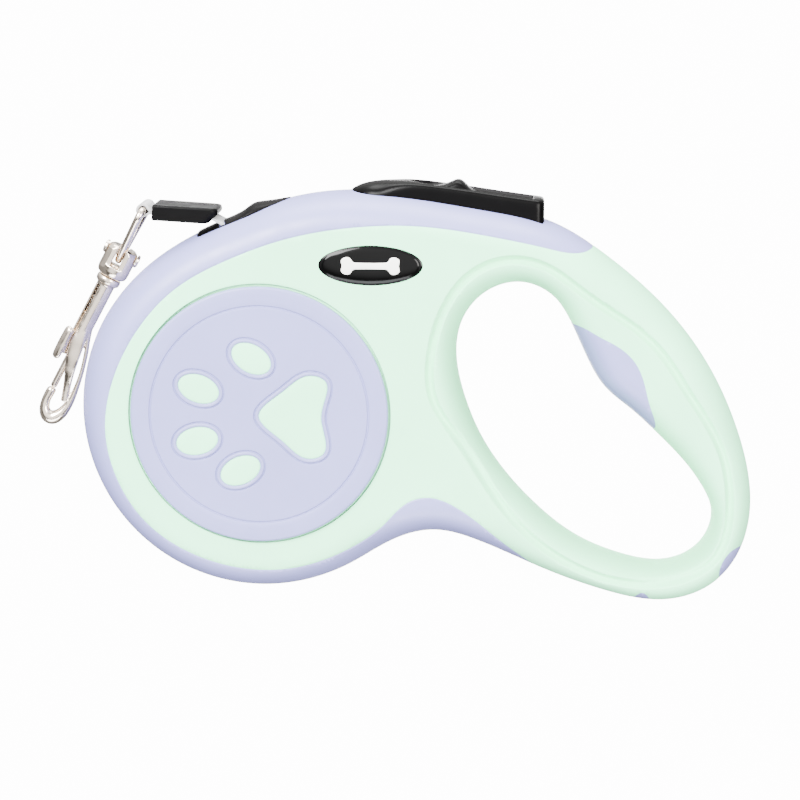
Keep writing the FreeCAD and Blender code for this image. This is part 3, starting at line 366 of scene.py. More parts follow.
def relief(name, points, faces, height, side, thickness):
    """A skin whose outer face stands at height(points) from the middle plane, front (-1) or rear (1)."""
    used, faces = np.unique(faces, return_inverse=True)
    faces = faces.reshape(-1, 3)
    p = points[used]
    step = 0.02
    h = height(p)
    rise_x = (height(p + [step, 0]) - height(p - [step, 0])) / (2 * step)
    rise_z = (height(p + [0, step]) - height(p - [0, step])) / (2 * step)
    normal = unit(np.stack([-rise_x, np.full(len(p), float(side)), -rise_z], axis=1))
    outer = np.stack([p[:, 0], side * h, p[:, 1]], axis=1)
    inner = outer - normal * thickness
    inner[:, 1] = side * np.maximum(side * inner[:, 1], SEAM_GAP)
    if side > 0:
        faces = faces[:, ::-1]
    count = len(p)
    directed = dict.fromkeys(edge for a, b, c in faces.tolist() for edge in ((a, b), (b, c), (c, a)))
    walls = [(b, b + count, a + count, a) for a, b in directed if (b, a) not in directed]
    back = (faces[:, ::-1] + count).tolist()
    thing = new_object(name, np.concatenate([outer, inner]).tolist(), faces.tolist() + back + walls, sharp=30)
    mesh = thing.data
    corner_vertex = np.zeros(len(mesh.loops), int)
    mesh.loops.foreach_get("vertex_index", corner_vertex)
    corner_normal = np.zeros(len(mesh.loops) * 3)
    mesh.corner_normals.foreach_get("vector", corner_normal)
    corner_normal = corner_normal.reshape(-1, 3)
    shown = np.arange(len(mesh.loops)) < 3 * len(faces)
    corner_normal[shown] = normal[corner_vertex[shown]]
    mesh.normals_split_custom_set(corner_normal.tolist())
    return thing


def bar(name, places, half_width, top, base, across):
    """A long closed piece: at each x its top is top(x, y) across the width, with upright sides to base(x)."""
    spread = np.sin(np.linspace(-math.pi / 2, math.pi / 2, across))
    verts = []
    for x in places:
        width = half_width(x)
        rounded = [(x, width * share, top(x, width * share)) for share in spread]
        verts += [(x, -width, base(x)), *rounded, (x, width, base(x))]
    return new_object(name, verts, tube_faces(len(places), across + 2), sharp=50)


def eased(x, points, blur=1.5):
    """A smooth function through the points (x, value), rounded over blur each side."""
    xs, values = zip(*points)
    return float(np.mean([np.interp(x + s, xs, values) for s in np.linspace(-blur, blur, 9)]))


def sweep(path, sizes, sides=28):
    """An oval rod along a path of (x, y, z): sizes are half its thickness in the xz plane and across it."""
    along = unit(np.gradient(path[:, [0, 2]], axis=0))
    verts = []
    for (x, y, z), (run, rise), (wide, deep) in zip(path, along, sizes):
        for angle in around(sides):
            reach = wide * math.cos(angle)
            verts.append((x + rise * reach, y + deep * math.sin(angle), z - run * reach))
    return verts, tube_faces(len(path), sides)


def ring_faces(rings, sides, closed=False):
    """Quads from each ring of points to the next, and from the last to the first if closed."""
    faces = []
    for i in range(rings if closed else rings - 1):
        here, there = i * sides, (i + 1) % rings * sides
        for j in range(sides):
            k = (j + 1) % sides
            faces.append((here + j, there + j, there + k, here + k))
    return faces


def tube_faces(rings, sides):
    """Quads from each ring of points to the next, with a cap on both ends."""
    last = (rings - 1) * sides
    caps = [tuple(range(sides)), tuple(range(last + sides - 1, last - 1, -1))]
    return ring_faces(rings, sides) + caps


def lathe(profile, sides=48):
    """A solid of revolution about z from points (radius, z) that start and end on the axis."""
    verts = [(radius * math.cos(a), radius * math.sin(a), z) for radius, z in profile for a in around(sides)]
    return verts, [face[::-1] for face in tube_faces(len(profile), sides)]


def slab(xs, ys, zs):
    """A box between two values on each axis."""
    verts = [(x, y, z) for x in xs for y in ys for z in zs]
    faces = [(0, 1, 3, 2), (4, 6, 7, 5), (0, 4, 5, 1), (2, 3, 7, 6), (0, 2, 6, 4), (1, 5, 7, 3)]
    return verts, faces


def turned(points, angle):
    """Points turned about z."""
    c, s = math.cos(angle), math.sin(angle)
    return [(x * c - y * s, x * s + y * c, z) for x, y, z in points]


def joined(parts):
    """Several (verts, faces) lists as one."""
    verts, faces = [], []
    for more_verts, more_faces in parts:
        shift = len(verts)
        verts += list(more_verts)
        faces += [tuple(i + shift for i in f) for f in more_faces]
    return verts, faces


def carve(thing, solid, to_frame, operation="DIFFERENCE"):
    """Takes a (verts, faces) solid out of a thing, or with INTERSECT leaves only what is inside it."""
    cutter = new_object("cutter", *solid, to_frame=to_frame)
    cut = thing.modifiers.new("cut", "BOOLEAN")
    cut.operation = operation
    cut.object = cutter
    cut.solver = "EXACT"
    apply_modifiers(thing)
    bpy.data.objects.remove(cutter)


def cast(name, parts, grain, cutters=()):
    """One smooth cast-looking solid of the snap out of overlapping ones, with cutters taken out of it."""
    thing = new_object(name, *joined(parts), to_frame=SNAP_FRAME)
    melt(thing, grain)
    for cutter in cutters:
        carve(thing, cutter, SNAP_FRAME)
    if cutters:
        melt(thing, grain)
    thing.data.shade_smooth()
    return thing


def melt(thing, grain):
    """Welds a mesh into one even skin and takes off its tool marks."""
    remesh = thing.modifiers.new("weld", "REMESH")
    remesh.mode = "VOXEL"
    remesh.voxel_size = grain * MM
    relax = thing.modifiers.new("relax", "SMOOTH")
    relax.factor = 0.5
    relax.iterations = 7
    apply_modifiers(thing)


# ---------------- materials

def new_material(name, colour, roughness, metallic=0.0):
    material = bpy.data.materials.new(name)
    material.use_nodes = True
    shader = material.node_tree.nodes["Principled BSDF"]
    shader.inputs["Base Color"].default_value = (*colour, 1)
    shader.inputs["Roughness"].default_value = roughness
    shader.inputs["Metallic"].default_value = metallic
    return material, shader


def add_node(tree, kind, inputs, **settings):
    """A shader node; each input named is linked from a socket or set to a value."""
    node = tree.nodes.new("ShaderNode" + kind)
    for name, value in settings.items():
        setattr(node, name, value)
    for name, value in inputs.items():
        if isinstance(value, bpy.types.NodeSocket):
            tree.links.new(value, node.inputs[name])
        else:
            node.inputs[name].default_value = value
    return node


def noise_in(material, scale, detail=4.0, stretch=(1, 1, 1)):
    """A noise in the row frame's metres; scale is features per metre."""
    tree = material.node_tree
    place = add_node(tree, "TexCoord", {})
    mapping = add_node(tree, "Mapping", {"Scale": stretch, "Vector": place.outputs["Object"]})
    noise = {"Scale": scale, "Detail": detail, "Vector": mapping.outputs["Vector"]}
    return add_node(tree, "TexNoise", noise).outputs["Fac"]


def ramp(material, source, low, high, low_at=0.35, high_at=0.65):
    node = add_node(material.node_tree, "ValToRGB", {"Fac": source})
    for element, place, colour in zip(node.color_ramp.elements, (low_at, high_at), (low, high)):
        element.position = place
        element.color = (*colour, 1)
    return node.outputs["Color"]


def bump(material, shader, source, strength, distance):
    tree = material.node_tree
    node = add_node(tree, "Bump", {"Strength": strength, "Distance": distance, "Height": source})
    tree.links.new(node.outputs["Normal"], shader.inputs["Normal"])


def grey(level):
    return (level, level, level)


def shaded(colour, share):
    return tuple(c * share for c in colour)


def clouded(material, shader, socket, scale, low, high, detail=3.0):
    """Lets a socket drift between two colours in soft clouds."""
    drift = ramp(material, noise_in(material, scale, detail), low, high)
    material.node_tree.links.new(drift, shader.inputs[socket])


def moulded(name, colour, roughness, grain, depth, spread=0.03, variation=0.05, coat=0.0, shine=0.5):
    """Moulded plastic or rubber: faint clouds of colour, uneven gloss and a fine moulding grain."""
    material, shader = new_material(name, colour, roughness)
    clouded(material, shader, "Base Color", 45, shaded(colour, 1 - spread), shaded(colour, 1 + spread))
    low, high = grey(max(roughness - variation, 0.02)), grey(roughness + variation)
    clouded(material, shader, "Roughness", 260, low, high)
    bump(material, shader, noise_in(material, grain), 0.35, depth * MM)
    shader.inputs["Coat Weight"].default_value = coat
    shader.inputs["Coat Roughness"].default_value = 0.12
    shader.inputs["Specular IOR Level"].default_value = shine
    return material


def metal(name, colour, roughness, scratch=0.02, stretch=(1, 1, 1)):
    """Plated or turned metal: a slightly wavy face, fine polishing marks and uneven gloss."""
    material, shader = new_material(name, colour, roughness, 1.0)
    clouded(material, shader, "Roughness", 420, grey(roughness * 0.6), grey(min(roughness * 1.7, 1)))
    clouded(material, shader, "Base Color", 160, shaded(colour, 0.93), shaded(colour, 1.04), 2.0)
    bump(material, shader, noise_in(material, 900, 2.0, stretch), 0.25, scratch * MM)
    return material


def woven(name, colour):
    """Polyester webbing: ribs across it and threads along it, with a little fuzz."""
    material, shader = new_material(name, colour, 0.8)
    tree = material.node_tree
    place = add_node(tree, "TexCoord", {})
    waves = []
    for direction, scale in (("X", 900.0), ("Y", 420.0)):
        wave = {"Scale": scale, "Distortion": 0.6, "Vector": place.outputs["Object"]}
        waves.append(add_node(tree, "TexWave", wave, bands_direction=direction).outputs["Fac"])
    weave = add_node(tree, "Math", dict(enumerate(waves)), operation="MULTIPLY").outputs["Value"]
    shadows = ramp(material, weave, shaded(colour, 0.72), colour, 0.0, 0.8)
    tree.links.new(shadows, shader.inputs["Base Color"])
    bump(material, shader, weave, 0.6, 0.12 * MM)
    shader.inputs["Sheen Weight"].default_value = 0.3
    return material


LILAC = (0.215, 0.222, 0.475)
MINT = (0.32, 0.93, 0.51)
# the blacks are this dark because the light on the front is strong
BLACK = (0.001, 0.0009, 0.001)
shell_plastic = moulded("lilac_plastic", LILAC, 0.42, 5200, 0.012)
soft_rubber = moulded("mint_rubber", MINT, 0.55, 4200, 0.016)
disc_plastic = moulded("disc_plastic", shaded(LILAC, 0.98), 0.45, 5200, 0.012)
black_gloss = moulded("black_gloss", BLACK, 0.3, 2600, 0.001, 0.1, 0.02, shine=0.06)
black_satin = moulded("black_satin", BLACK, 0.44, 3600, 0.003, 0.1, 0.03, shine=0.06)
badge_black = moulded("badge_black", grey(0.0012), 0.1, 2000, 0.001, 0.1, 0.02, 0.06, shine=0.1)
badge_white = moulded("badge_white", (0.86, 0.84, 0.80), 0.3, 3000, 0.004)
nickel = metal("nickel_plate", (0.77, 0.67, 0.56), 0.17, 0.003)
steel = metal("zinc_steel", (0.62, 0.62, 0.63), 0.28, 0.04, (1, 6, 1))
spring_steel = metal("spring_steel", (0.33, 0.34, 0.37), 0.3, 0.04, (6, 1, 1))
natural_plastic = moulded("natural_plastic", (0.74, 0.74, 0.70), 0.4, 3200, 0.012)
tape_cloth = woven("polyester_tape", (0.46, 0.46, 0.47))

# ---------------- brake lever outline, used by its slot too

LEVER_NOSE = 24.0
LEVER_TAIL = 75.2
LEVER_FULL_WIDTH_AT = 32.5
LEVER_HALF_WIDTH = 6.4
LEVER_TAIL_ROUND = 2.3
SLOT_GAP = 0.35
SLOT_ABOVE = 40
LEVER_TOP = [
    (22.0, 57.8), (24.0, 58.8), (25.5, 59.8), (28.5, 60.7), (32.0, 61.15), (39.0, 61.2), (43.8, 60.8),
    (49.0, 60.2), (56.0, 59.3), (63.5, 58.2), (74.4, 56.7), (80.0, 56.0),
]
LEVER_BASE = [(24.2, 56.0), (36.0, 55.2), (45.0, 53.6), (60.0, 49.6), (75.2, 46.2)]


def cornered(half_width, radius, past):
    """A half width that rounds off over a radius, so far past the corner's start."""
    return half_width - radius + math.sqrt(max(radius**2 - max(past, 0.0) ** 2, 0.0))


def lever_width(x):
    """Half the lever's width: a leaf-shaped nose, full width, and a square tail with round corners."""
    if x < LEVER_FULL_WIDTH_AT:
        share = (LEVER_FULL_WIDTH_AT - x) / (LEVER_FULL_WIDTH_AT - LEVER_NOSE)
        return LEVER_HALF_WIDTH * max(1 - share**2.2, 0.0004) ** 0.5
    return cornered(LEVER_HALF_WIDTH, LEVER_TAIL_ROUND, x - LEVER_TAIL + LEVER_TAIL_ROUND)


# ---------------- casing


def half_depth(p):
    """The casing's half thickness, less towards the handle's end."""
    share = smooth_step((p[:, 0] - TAPER_START) / TAPER_LENGTH)
    return HALF_DEPTH + (HANDLE_HALF_DEPTH - HALF_DEPTH) * share


def crown(p):
    """Height of the smooth casing over its middle plane: an upright edge that rounds on to a flat face."""
    out = np.maximum(nearest(p, OUTLINE), 0)
    hole = np.maximum(-nearest(p, HOLE), 0)
    width = out + hole
    a = np.minimum(out / np.minimum(RIM_REACH, RIM_SHARE * width), 1)
    b = np.minimum(hole / np.minimum(LIP_REACH, LIP_SHARE * width), 1)
    drop = (1 - a) ** ROUNDNESS + (1 - b) ** ROUNDNESS
    return half_depth(p) * np.maximum(1 - drop, 0) ** (1 / ROUNDNESS)


def casing_height(p, screws):
    """The crown with its grooves, the disc's well and, if there are screws, their holes."""
    height = crown(p)
    height -= LIP_GROOVE_DEPTH * dip(nearest(p, GROOVE) / LIP_GROOVE_HALF)
    height -= PARTING_DEPTH * dip(nearest(p, PARTING, closed=False) / PARTING_HALF)
    for patch in PATCHES:
        height -= PARTING_DEPTH * dip(nearest(p, patch) / PARTING_HALF)
    radius = lengths(p)
    height -= RIM_GAP_DEPTH * step_down(radius, RIM_GAP_RADIUS, RIM_GAP_WALL)
    height -= (WELL_DEPTH - RIM_GAP_DEPTH) * step_down(radius, WELL_RADIUS, WELL_WALL)
    if screws:
        for spot in SCREW_SPOTS:
            away = lengths(p - spot)
            height -= SCREW_SINK * step_down(away, SCREW_HOLE, SCREW_HOLE_WALL)
    return np.maximum(height, SEAM_GAP)


def inset_for(height):
    """How far in from the silhouette the crown reaches this height above the middle plane."""
    return RIM_REACH * (1 - (1 - (height / HALF_DEPTH) ** ROUNDNESS) ** (1 / ROUNDNESS))


def slot_line():
    """The edge of the lever's slot on the casing's top, as seen from the side, from tail to nose."""
    line = []
    for spot, normal in zip(OUTLINE, outward(OUTLINE)):
        if spot[1] < SLOT_ABOVE or not LEVER_NOSE - SLOT_GAP < spot[0] < LEVER_TAIL + SLOT_GAP:
            continue
        x = min(max(spot[0], LEVER_NOSE), LEVER_TAIL - LEVER_TAIL_ROUND)
        line.append(spot - normal * inset_for(lever_width(x) + SLOT_GAP))
    return np.array(line)


GRID_SPACING = 1.25
GRID_GAP = 0.75
# rows over each rounded edge, and how near to the other edge they may come, as a share of its distance
ROUND_ROWS = 12
ROUND_MEET = 0.8
# offsets and radii of the rows of points that carry the fine shapes
GROOVE_ROWS = (-1.5, -1.15, -0.8, -0.5, -0.25, 0.0, 0.25, 0.5, 0.8, 1.15, 1.5)
PARTING_ROWS = (-0.45, -0.2, 0.2, 0.45)
WELL_ROWS = (33.88, 34.0, 34.17, 34.7, 34.76, 34.84, 34.92, 35.0, 35.06, 35.6)
WELL_FLOOR_RADIUS = 33.5
SCREW_ROWS = (1.2, 2.2, 2.36, 2.5, 2.64, 3.1)
CIRCLE_STEPS = 220
SCREW_STRIDE = 5


def casing_plan():
    """(points, triangles, which triangles are overmould) of one half of the casing."""
    plan = Plan()
    plan.row(OUTLINE, fixed=True)
    plan.row(HOLE, fixed=True)
    ring_out, ring_hole = outward(OUTLINE), outward(HOLE)
    for angle in np.linspace(0, math.pi / 2, ROUND_ROWS)[1:]:
        rim = OUTLINE - ring_out * RIM_REACH * (1 - math.cos(angle))
        lip = HOLE + ring_hole * LIP_REACH * (1 - math.cos(angle))
        plan.row(rim[nearest(rim, OUTLINE) < ROUND_MEET * -nearest(rim, HOLE)])
        plan.row(lip[-nearest(lip, HOLE) < ROUND_MEET * nearest(lip, OUTLINE)])
    for offset in GROOVE_ROWS:
        plan.row(GROOVE + outward(GROOVE) * offset)
    for offset in PARTING_ROWS:
        plan.row((PARTING + outward(PARTING) * offset)[2:-2])
    plan.row(PARTING, closed=False, fixed=True)
    for patch in PATCHES:
        plan.row(patch, fixed=True)
    disc = oval(0, 0, 1, 1, 0, CIRCLE_STEPS)
    for radius in WELL_ROWS:
        plan.row(disc * radius)
    for spot in SCREW_SPOTS:
        plan.row([spot])
        for radius in SCREW_ROWS:
            plan.row(disc[::SCREW_STRIDE] * radius + spot)
    slot = slot_line()
    plan.row(slot, closed=False, fixed=True)
    plan.fill((-50, -53), (132, 59), GRID_SPACING, GRID_GAP)
    above = 70.0
    opening = np.concatenate([slot, [[slot[-1][0], above], [slot[0][0], above]]])

    def keep(p):
        kept = inside(p, OUTLINE) & ~inside(p, HOLE) & (lengths(p) > WELL_FLOOR_RADIUS)
        return kept & ~inside(p, opening)

    points, faces = plan.triangles(keep)
    middles = points[faces].mean(1)
    handle_side = np.concatenate([PARTING, [[140.0, -60.0], [140.0, 60.0]]])
    soft = inside(middles, handle_side)
    for patch in PATCHES:
        soft &= ~inside(middles, patch)
    return points, faces, soft


SIDE_NAMES = {-1: "front", 1: "rear"}


def face_piece(side, name, plan, height, thickness, slot, material, stands_for=None):
    """A relief on the front (-1) or rear (1) of the casing, in place of that side's CAD node."""
    prefix = SIDE_NAMES[side] + "_"
    piece = relief(prefix + name, *plan, height, side, thickness)
    finish_piece(piece, "casing", slot, material, *([prefix + stands_for] if stands_for else []))


def make_casing():
    points, faces, soft = casing_plan()
    skin, shell = (points, faces[soft]), (points, faces[~soft])
    for side in SIDE_NAMES:
        def height(p):
            return casing_height(p, screws=side > 0)

        face_piece(side, "soft_grip", skin, height, SKIN_THICKNESS, "overmould", soft_rubber, "overmould")
        face_piece(side, "casing", shell, height, SKIN_THICKNESS, "shell", shell_plastic, "shell")


# ---------------- discs, pads, badges and screws

DISC_RADIUS = 34.35
DISC_FACE = 16.5
DISC_THICKNESS = 2.2
DISC_EDGE = 0.7
DISC_BAND_RISE = 0.14
DISC_RING = 29.1
DISC_RING_DEPTH = 0.42
DISC_RING_HALF = 0.42
# x, z and lean in degrees
TOES = [(-1.9, 15.1, -30.0), (-16.0, 6.9, -20.0), (-16.5, -7.2, 12.0), (-5.0, -15.1, 25.0)]
TOE_LONG = 5.6
TOE_SHORT = 3.7
PAD_RIM = 1.25
MAIN_PAD = [
    (0.0, -0.3), (6.8, 6.6), (13.9, 10.6), (17.9, 8.9), (17.6, 4.2), (16.6, -1.0), (17.6, -6.2),
    (17.2, -10.3), (13.2, -11.7), (6.6, -7.3),
]
PAD_THICKNESS = 0.9
PAD_CROWN = 0.1
PAD_CROWN_REACH = 1.5
# rise, distance outside the pad's edge and half width of each line that runs round a pad
PAD_LINES = [(-0.45, PAD_RIM, 0.36), (0.16, PAD_RIM / 2, 0.55), (-0.3, 0.0, 0.26)]
DISC_ROWS = (0.02, 0.08, 0.2, 0.38, 0.6, 0.75, 1.4, 2.4, 3.5)
RING_ROWS = (-0.9, -0.42, -0.28, -0.14, 0.0, 0.14, 0.28, 0.42, 0.9)
PAD_ROWS = (-1.2, -0.7, -0.26, -0.13, 0.13, 0.26, 0.58, 0.89, 1.0, 1.12, 1.25, 1.38, 1.5, 1.61, 2.2)


def oval(x, z, long_half, short_half, lean, count=90):
    """A closed oval about (x, z), leaning by so many degrees."""
    angle = around(count)
    flat = np.stack([long_half * np.cos(angle), short_half * np.sin(angle)], axis=1)
    c, s = math.cos(math.radians(lean)), math.sin(math.radians(lean))
    return flat @ np.array([[c, s], [-s, c]]) + [x, z]


PADS = [oval(x, z, TOE_LONG, TOE_SHORT, lean) for x, z, lean in TOES]
PADS.append(closed_curve(MAIN_PAD, 150)[::-1])


def disc_height(p):
    """The disc's face: a round edge, a raised outer band, a ring groove, and lines round the pads."""
    radius = lengths(p)
    edge = np.clip((DISC_RADIUS - radius) / DISC_EDGE, 0, 1)
    height = DISC_FACE - DISC_BAND_RISE - DISC_EDGE * (1 - np.sqrt(np.maximum(1 - (1 - edge) ** 2, 0)))
    outer_band = smooth_step((radius - DISC_RING) / 1.2) * smooth_step((DISC_RADIUS - radius) / 2)
    height += DISC_BAND_RISE * outer_band
    height -= DISC_RING_DEPTH * dip((radius - DISC_RING) / DISC_RING_HALF)
    for pad in PADS:
        away = -nearest(p, pad)
        for rise, spot, half in PAD_LINES:
            height += rise * dip((away - spot) / half)
        height += PAD_CROWN * smooth_step(-away / PAD_CROWN_REACH)
    return height


def disc_plan():
    """(points, triangles, which triangles are pads) of a side disc."""
    plan = Plan()
    circle = oval(0, 0, 1, 1, 0, 240)
    plan.row(circle * DISC_RADIUS, fixed=True)
    for inset in DISC_ROWS:
        plan.row(circle * (DISC_RADIUS - inset))
    for offset in RING_ROWS:
        plan.row(circle * (DISC_RING + offset))
    for pad in PADS:
        plan.row(pad, fixed=True)
        for offset in PAD_ROWS:
            plan.row(pad + outward(pad) * offset)
    plan.fill((-34, -34), (34, 34), 1.3, 0.7)
    points, faces = plan.triangles(lambda p: lengths(p) < DISC_RADIUS)
    middles = points[faces].mean(1)
    return points, faces, np.any([inside(middles, pad) for pad in PADS], axis=0)


def make_discs():
    points, faces, soft = disc_plan()
    plate, pads = (points, faces[~soft]), (points, faces[soft])
    for side in SIDE_NAMES:
        face_piece(side, "side_disc", plate, disc_height, DISC_THICKNESS, "disc", disc_plastic, "disc")
        face_piece(side, "paw", pads, disc_height, PAD_THICKNESS, "paw_pads", soft_rubber, "paw_pads")


BADGE = (29.7, 40.0)
BADGE_LONG = 14.0
BADGE_SHORT = 5.4
BADGE_HEIGHT = 1.3
BADGE_THICKNESS = 0.8
BADGE_SUNK = 0.25
# depth, place and half width of the line inside the rim, the last two as shares of the oval
BADGE_LINE = (0.05, 0.92, 0.04)
BADGE_ROWS = (1.0, 0.995, 0.98, 0.96, 0.94, 0.92, 0.9, 0.88, 0.86, 0.82, 0.75, 0.66, 0.55, 0.42)
BONE_RISE = 0.07
BONE_EDGE = 0.2
BONE_THICKNESS = 0.12
# the underside of the right knob, from the shaft out to the notch in its end
BONE_KNOB = [(3.4, -0.85), (4.6, -1.1), (5.3, -2.0), (6.6, -2.25), (7.7, -1.35)]


def badge_height(p):
    """A domed oval with a fine line inside its rim, standing on the casing's face."""
    away = p - np.array(BADGE)
    share = np.minimum(np.hypot(away[:, 0] / BADGE_LONG, away[:, 1] / BADGE_SHORT), 1)
    dome = BADGE_HEIGHT * np.sqrt(np.maximum(1 - share**2.6, 0))
    depth, place, half = BADGE_LINE
    return HALF_DEPTH - BADGE_SUNK + dome - depth * dip((share - place) / half)


def bone_outline():
    """A plain dog bone: two knobs at each end of a waisted shaft."""
    right = BONE_KNOB + [(7.5, 0.0)] + [(x, -z) for x, z in reversed(BONE_KNOB)] + [(1.2, 0.8)]
    return closed_curve(right + [(-x, -z) for x, z in right], 200) + np.array(BADGE)


def make_badges():
    """The badge's button and the bone on it, which stands in for the lettering."""
    plan = Plan()
    rims = [oval(*BADGE, BADGE_LONG * share, BADGE_SHORT * share, 0, 140) for share in BADGE_ROWS]
    for rim in rims:
        plan.row(rim, fixed=rim is rims[0])
    plan.fill((15, 34), (44, 46), 0.55, 0.35)
    button = plan.triangles(lambda p: inside(p, rims[0]))
    outline = bone_outline()
    bone_plan = Plan()
    bone_plan.row(outline, fixed=True)
    bone_plan.row(outline - outward(outline) * 0.12)
    bone_plan.fill((20, 36), (40, 44), 0.35, 0.2)
    bone = bone_plan.triangles(lambda p: inside(p, outline))

    def bone_height(p):
        return badge_height(p) + 0.03 + BONE_RISE * smooth_step(nearest(p, outline) / BONE_EDGE)

    for side in SIDE_NAMES:
        face_piece(side, "badge_button", button, badge_height, BADGE_THICKNESS, "badge", badge_black, "badge")
        face_piece(side, "badge_bone", bone, bone_height, BONE_THICKNESS, "badge", badge_white)


SCREW_HEAD = [(0, -6.0), (1.0, -6.0), (1.0, -0.4), (2.15, -0.2), (2.2, 0.75), (1.9, 1.1), (0, 1.2)]
CROSS_BLADE = slab((-1.35, 1.35), (-0.24, 0.24), (0.45, 2.0))
CROSS_TURN = 0.3


def make_screws():
    """Flat heads with a cross recess, in the rear casing's holes."""
    floors = crown(np.array(SCREW_SPOTS)) - SCREW_SINK

    def in_hole(number, verts):
        (x, z), floor = SCREW_SPOTS[number], floors[number]
        return [(x + a, floor + c, z - b) for a, b, c in verts]

    numbers = range(len(SCREW_SPOTS))
    verts, faces = lathe(SCREW_HEAD)
    heads = [(in_hole(i, verts), faces) for i in numbers]
    screws = new_object("casing_screw_heads", *joined(heads), sharp=35)
    verts, faces = CROSS_BLADE
    for i in numbers:
        for turn in (CROSS_TURN, CROSS_TURN + math.pi / 2):
            carve(screws, (in_hole(i, turned(verts, turn)), faces), REEL_FRAME)
    finish_piece(screws, "casing", "screws", steel, "case_screws")


# ---------------- brake lever and lock slider


def casing_top(x):
    """Height of the casing's silhouette above the reel, on its upper side."""
    upper = OUTLINE[(OUTLINE[:, 1] > 20) & (OUTLINE[:, 0] < 100)]
    order = upper[:, 0].argsort()
    return float(np.interp(x, upper[order, 0], upper[order, 1]))


RECESS_FRONT = 39.4
RECESS_REAR = 72.6
RECESS_SINK = 0.95
RECESS_HALF_WIDTH = 5.2
RECESS_WALL = 1.3
RECESS_FRONT_BOW = 0.24
RECESS_FRONT_WALL = 1.2
RECESS_REAR_WALL = 0.9
# how far the cap's edge is under the silhouette, and how square its section is at the nose and behind it
LEVER_EDGE_DROP = 1.3
NOSE_POWER = 2.2
BAR_POWER = 9.5
SQUARE_FROM = 31.0
SQUARE_OVER = 14.0
LEVER_CAMBER = 0.3
HUMP_ENDS = (44.6, 57.0)
HUMP_HALF_WIDTH = 4.0
HUMP_RISE = [
    (44.0, 0.0), (46.0, 0.12), (48.0, 0.55), (50.0, 1.45), (51.6, 2.45), (52.6, 2.75), (53.6, 2.35),
    (55.0, 1.0), (56.2, 0.25), (57.5, 0.0),
]


def lever_top(x, y):
    """A leaf-like dome at the nose that turns into a flat bar with soft shoulders and a thumb recess."""
    rim = casing_top(x) - LEVER_EDGE_DROP
    power = NOSE_POWER + (BAR_POWER - NOSE_POWER) * smooth_step((x - SQUARE_FROM) / SQUARE_OVER)
    share = min(abs(y) / lever_width(x), 1.0)
    rounded = (1 - share**power) ** (1 / power)
    tail = min(max(x - (LEVER_TAIL - 1.0), 0.0), 1.0)
    tail_drop = 1.0 - math.sqrt(1.0 - tail**2)
    front = RECESS_FRONT + RECESS_FRONT_BOW * y * y
    sunk = smooth_step((x - front) / RECESS_FRONT_WALL) * smooth_step((RECESS_REAR - x) / RECESS_REAR_WALL)
    sunk *= smooth_step((RECESS_HALF_WIDTH - abs(y)) / RECESS_WALL)
    top = eased(x, LEVER_TOP, 1.2) - tail_drop - LEVER_CAMBER * (y / LEVER_HALF_WIDTH) ** 2
    return rim + (top - rim) * rounded - RECESS_SINK * sunk


def make_lever():
    places = np.concatenate([
        LEVER_NOSE + np.array([0.0, 0.06, 0.2, 0.45, 0.8, 1.3, 1.9]),
        np.linspace(LEVER_NOSE + 2.6, LEVER_TAIL - 2.2, 92),
        LEVER_TAIL - np.array([1.6, 1.2, 0.85, 0.55, 0.3, 0.12, 0.0]),
    ])
    lever = bar("brake_lever_cap", places, lever_width, lever_top, lambda x: eased(x, LEVER_BASE), 85)
    finish_piece(lever, "brake_lever", "lever", black_gloss, "brake_lever")


def hump_top(x, y):
    """The slider's hump, standing on the recess's floor."""
    floor = eased(x, LEVER_TOP) - RECESS_SINK - 0.35 * (y / LEVER_HALF_WIDTH) ** 2
    share = min(abs(y) / HUMP_HALF_WIDTH, 1.0)
    return floor - 0.25 + (eased(x, HUMP_RISE, 0.9) + 0.3) * (1 - share**4.5) ** (1 / 2.2)


def hump_width(x):
    middle = sum(HUMP_ENDS) / 2
    share = abs(x - middle) / (middle - HUMP_ENDS[0])
    return HUMP_HALF_WIDTH * max(1 - share**6, 0.02) ** 0.5


def make_lock_slider():
    places = np.linspace(*HUMP_ENDS, 60)
    hump = bar("lock_slider_cap", places, hump_width, hump_top, lambda x: eased(x, LEVER_TOP) - 2.2, 41)
    finish_piece(hump, "lock_slider", "slider", black_gloss, "lock_slider")


# ---------------- tape outlet, tape and end sleeve

OUTLET_ENDS = (-17.2, 7.4)
OUTLET_HALF_WIDTH = 7.0
OUTLET_TAPER_FROM = -7.0
OUTLET_CORNER = 1.6
OUTLET_SLOT = slab((-1.0, 14.0), (-6.6, 6.6), (-0.75, 0.75))
OUTLET_RISE = [
    (-18.0, 0.25), (-12.0, 0.35), (-8.0, 0.4), (-6.0, 0.6), (-4.6, 1.0), (-3.2, 1.55), (-2.2, 1.7),
    (-1.0, 1.5), (1.9, 0.8), (4.5, 0.35), (8.0, 0.1),
]
TAPE_WIDTH = 12.0
TAPE_THICKNESS = 0.6
# how far the tape's edges stand out past its faces, and how far in from them its flat faces' points start
TAPE_FRAY = 0.15
TAPE_FLAT_MARGIN = 1.2
# each layer's distance from the sleeve's middle, the loop's radius, and how far past the bar it turns
PLY_LIFT = 0.32
LOOP_RADIUS = 1.5
LOOP_REACH = 1.9


def outlet_width(x):
    """Half the outlet's width: square with round corners at the mouth, narrowing like a leaf behind it."""
    low, high = OUTLET_ENDS
    if x > OUTLET_TAPER_FROM:
        share = (x - OUTLET_TAPER_FROM) / (high - OUTLET_TAPER_FROM)
        return OUTLET_HALF_WIDTH * max(1 - share**1.9, 0.0005) ** 0.62
    return cornered(OUTLET_HALF_WIDTH, OUTLET_CORNER, low + OUTLET_CORNER - x)


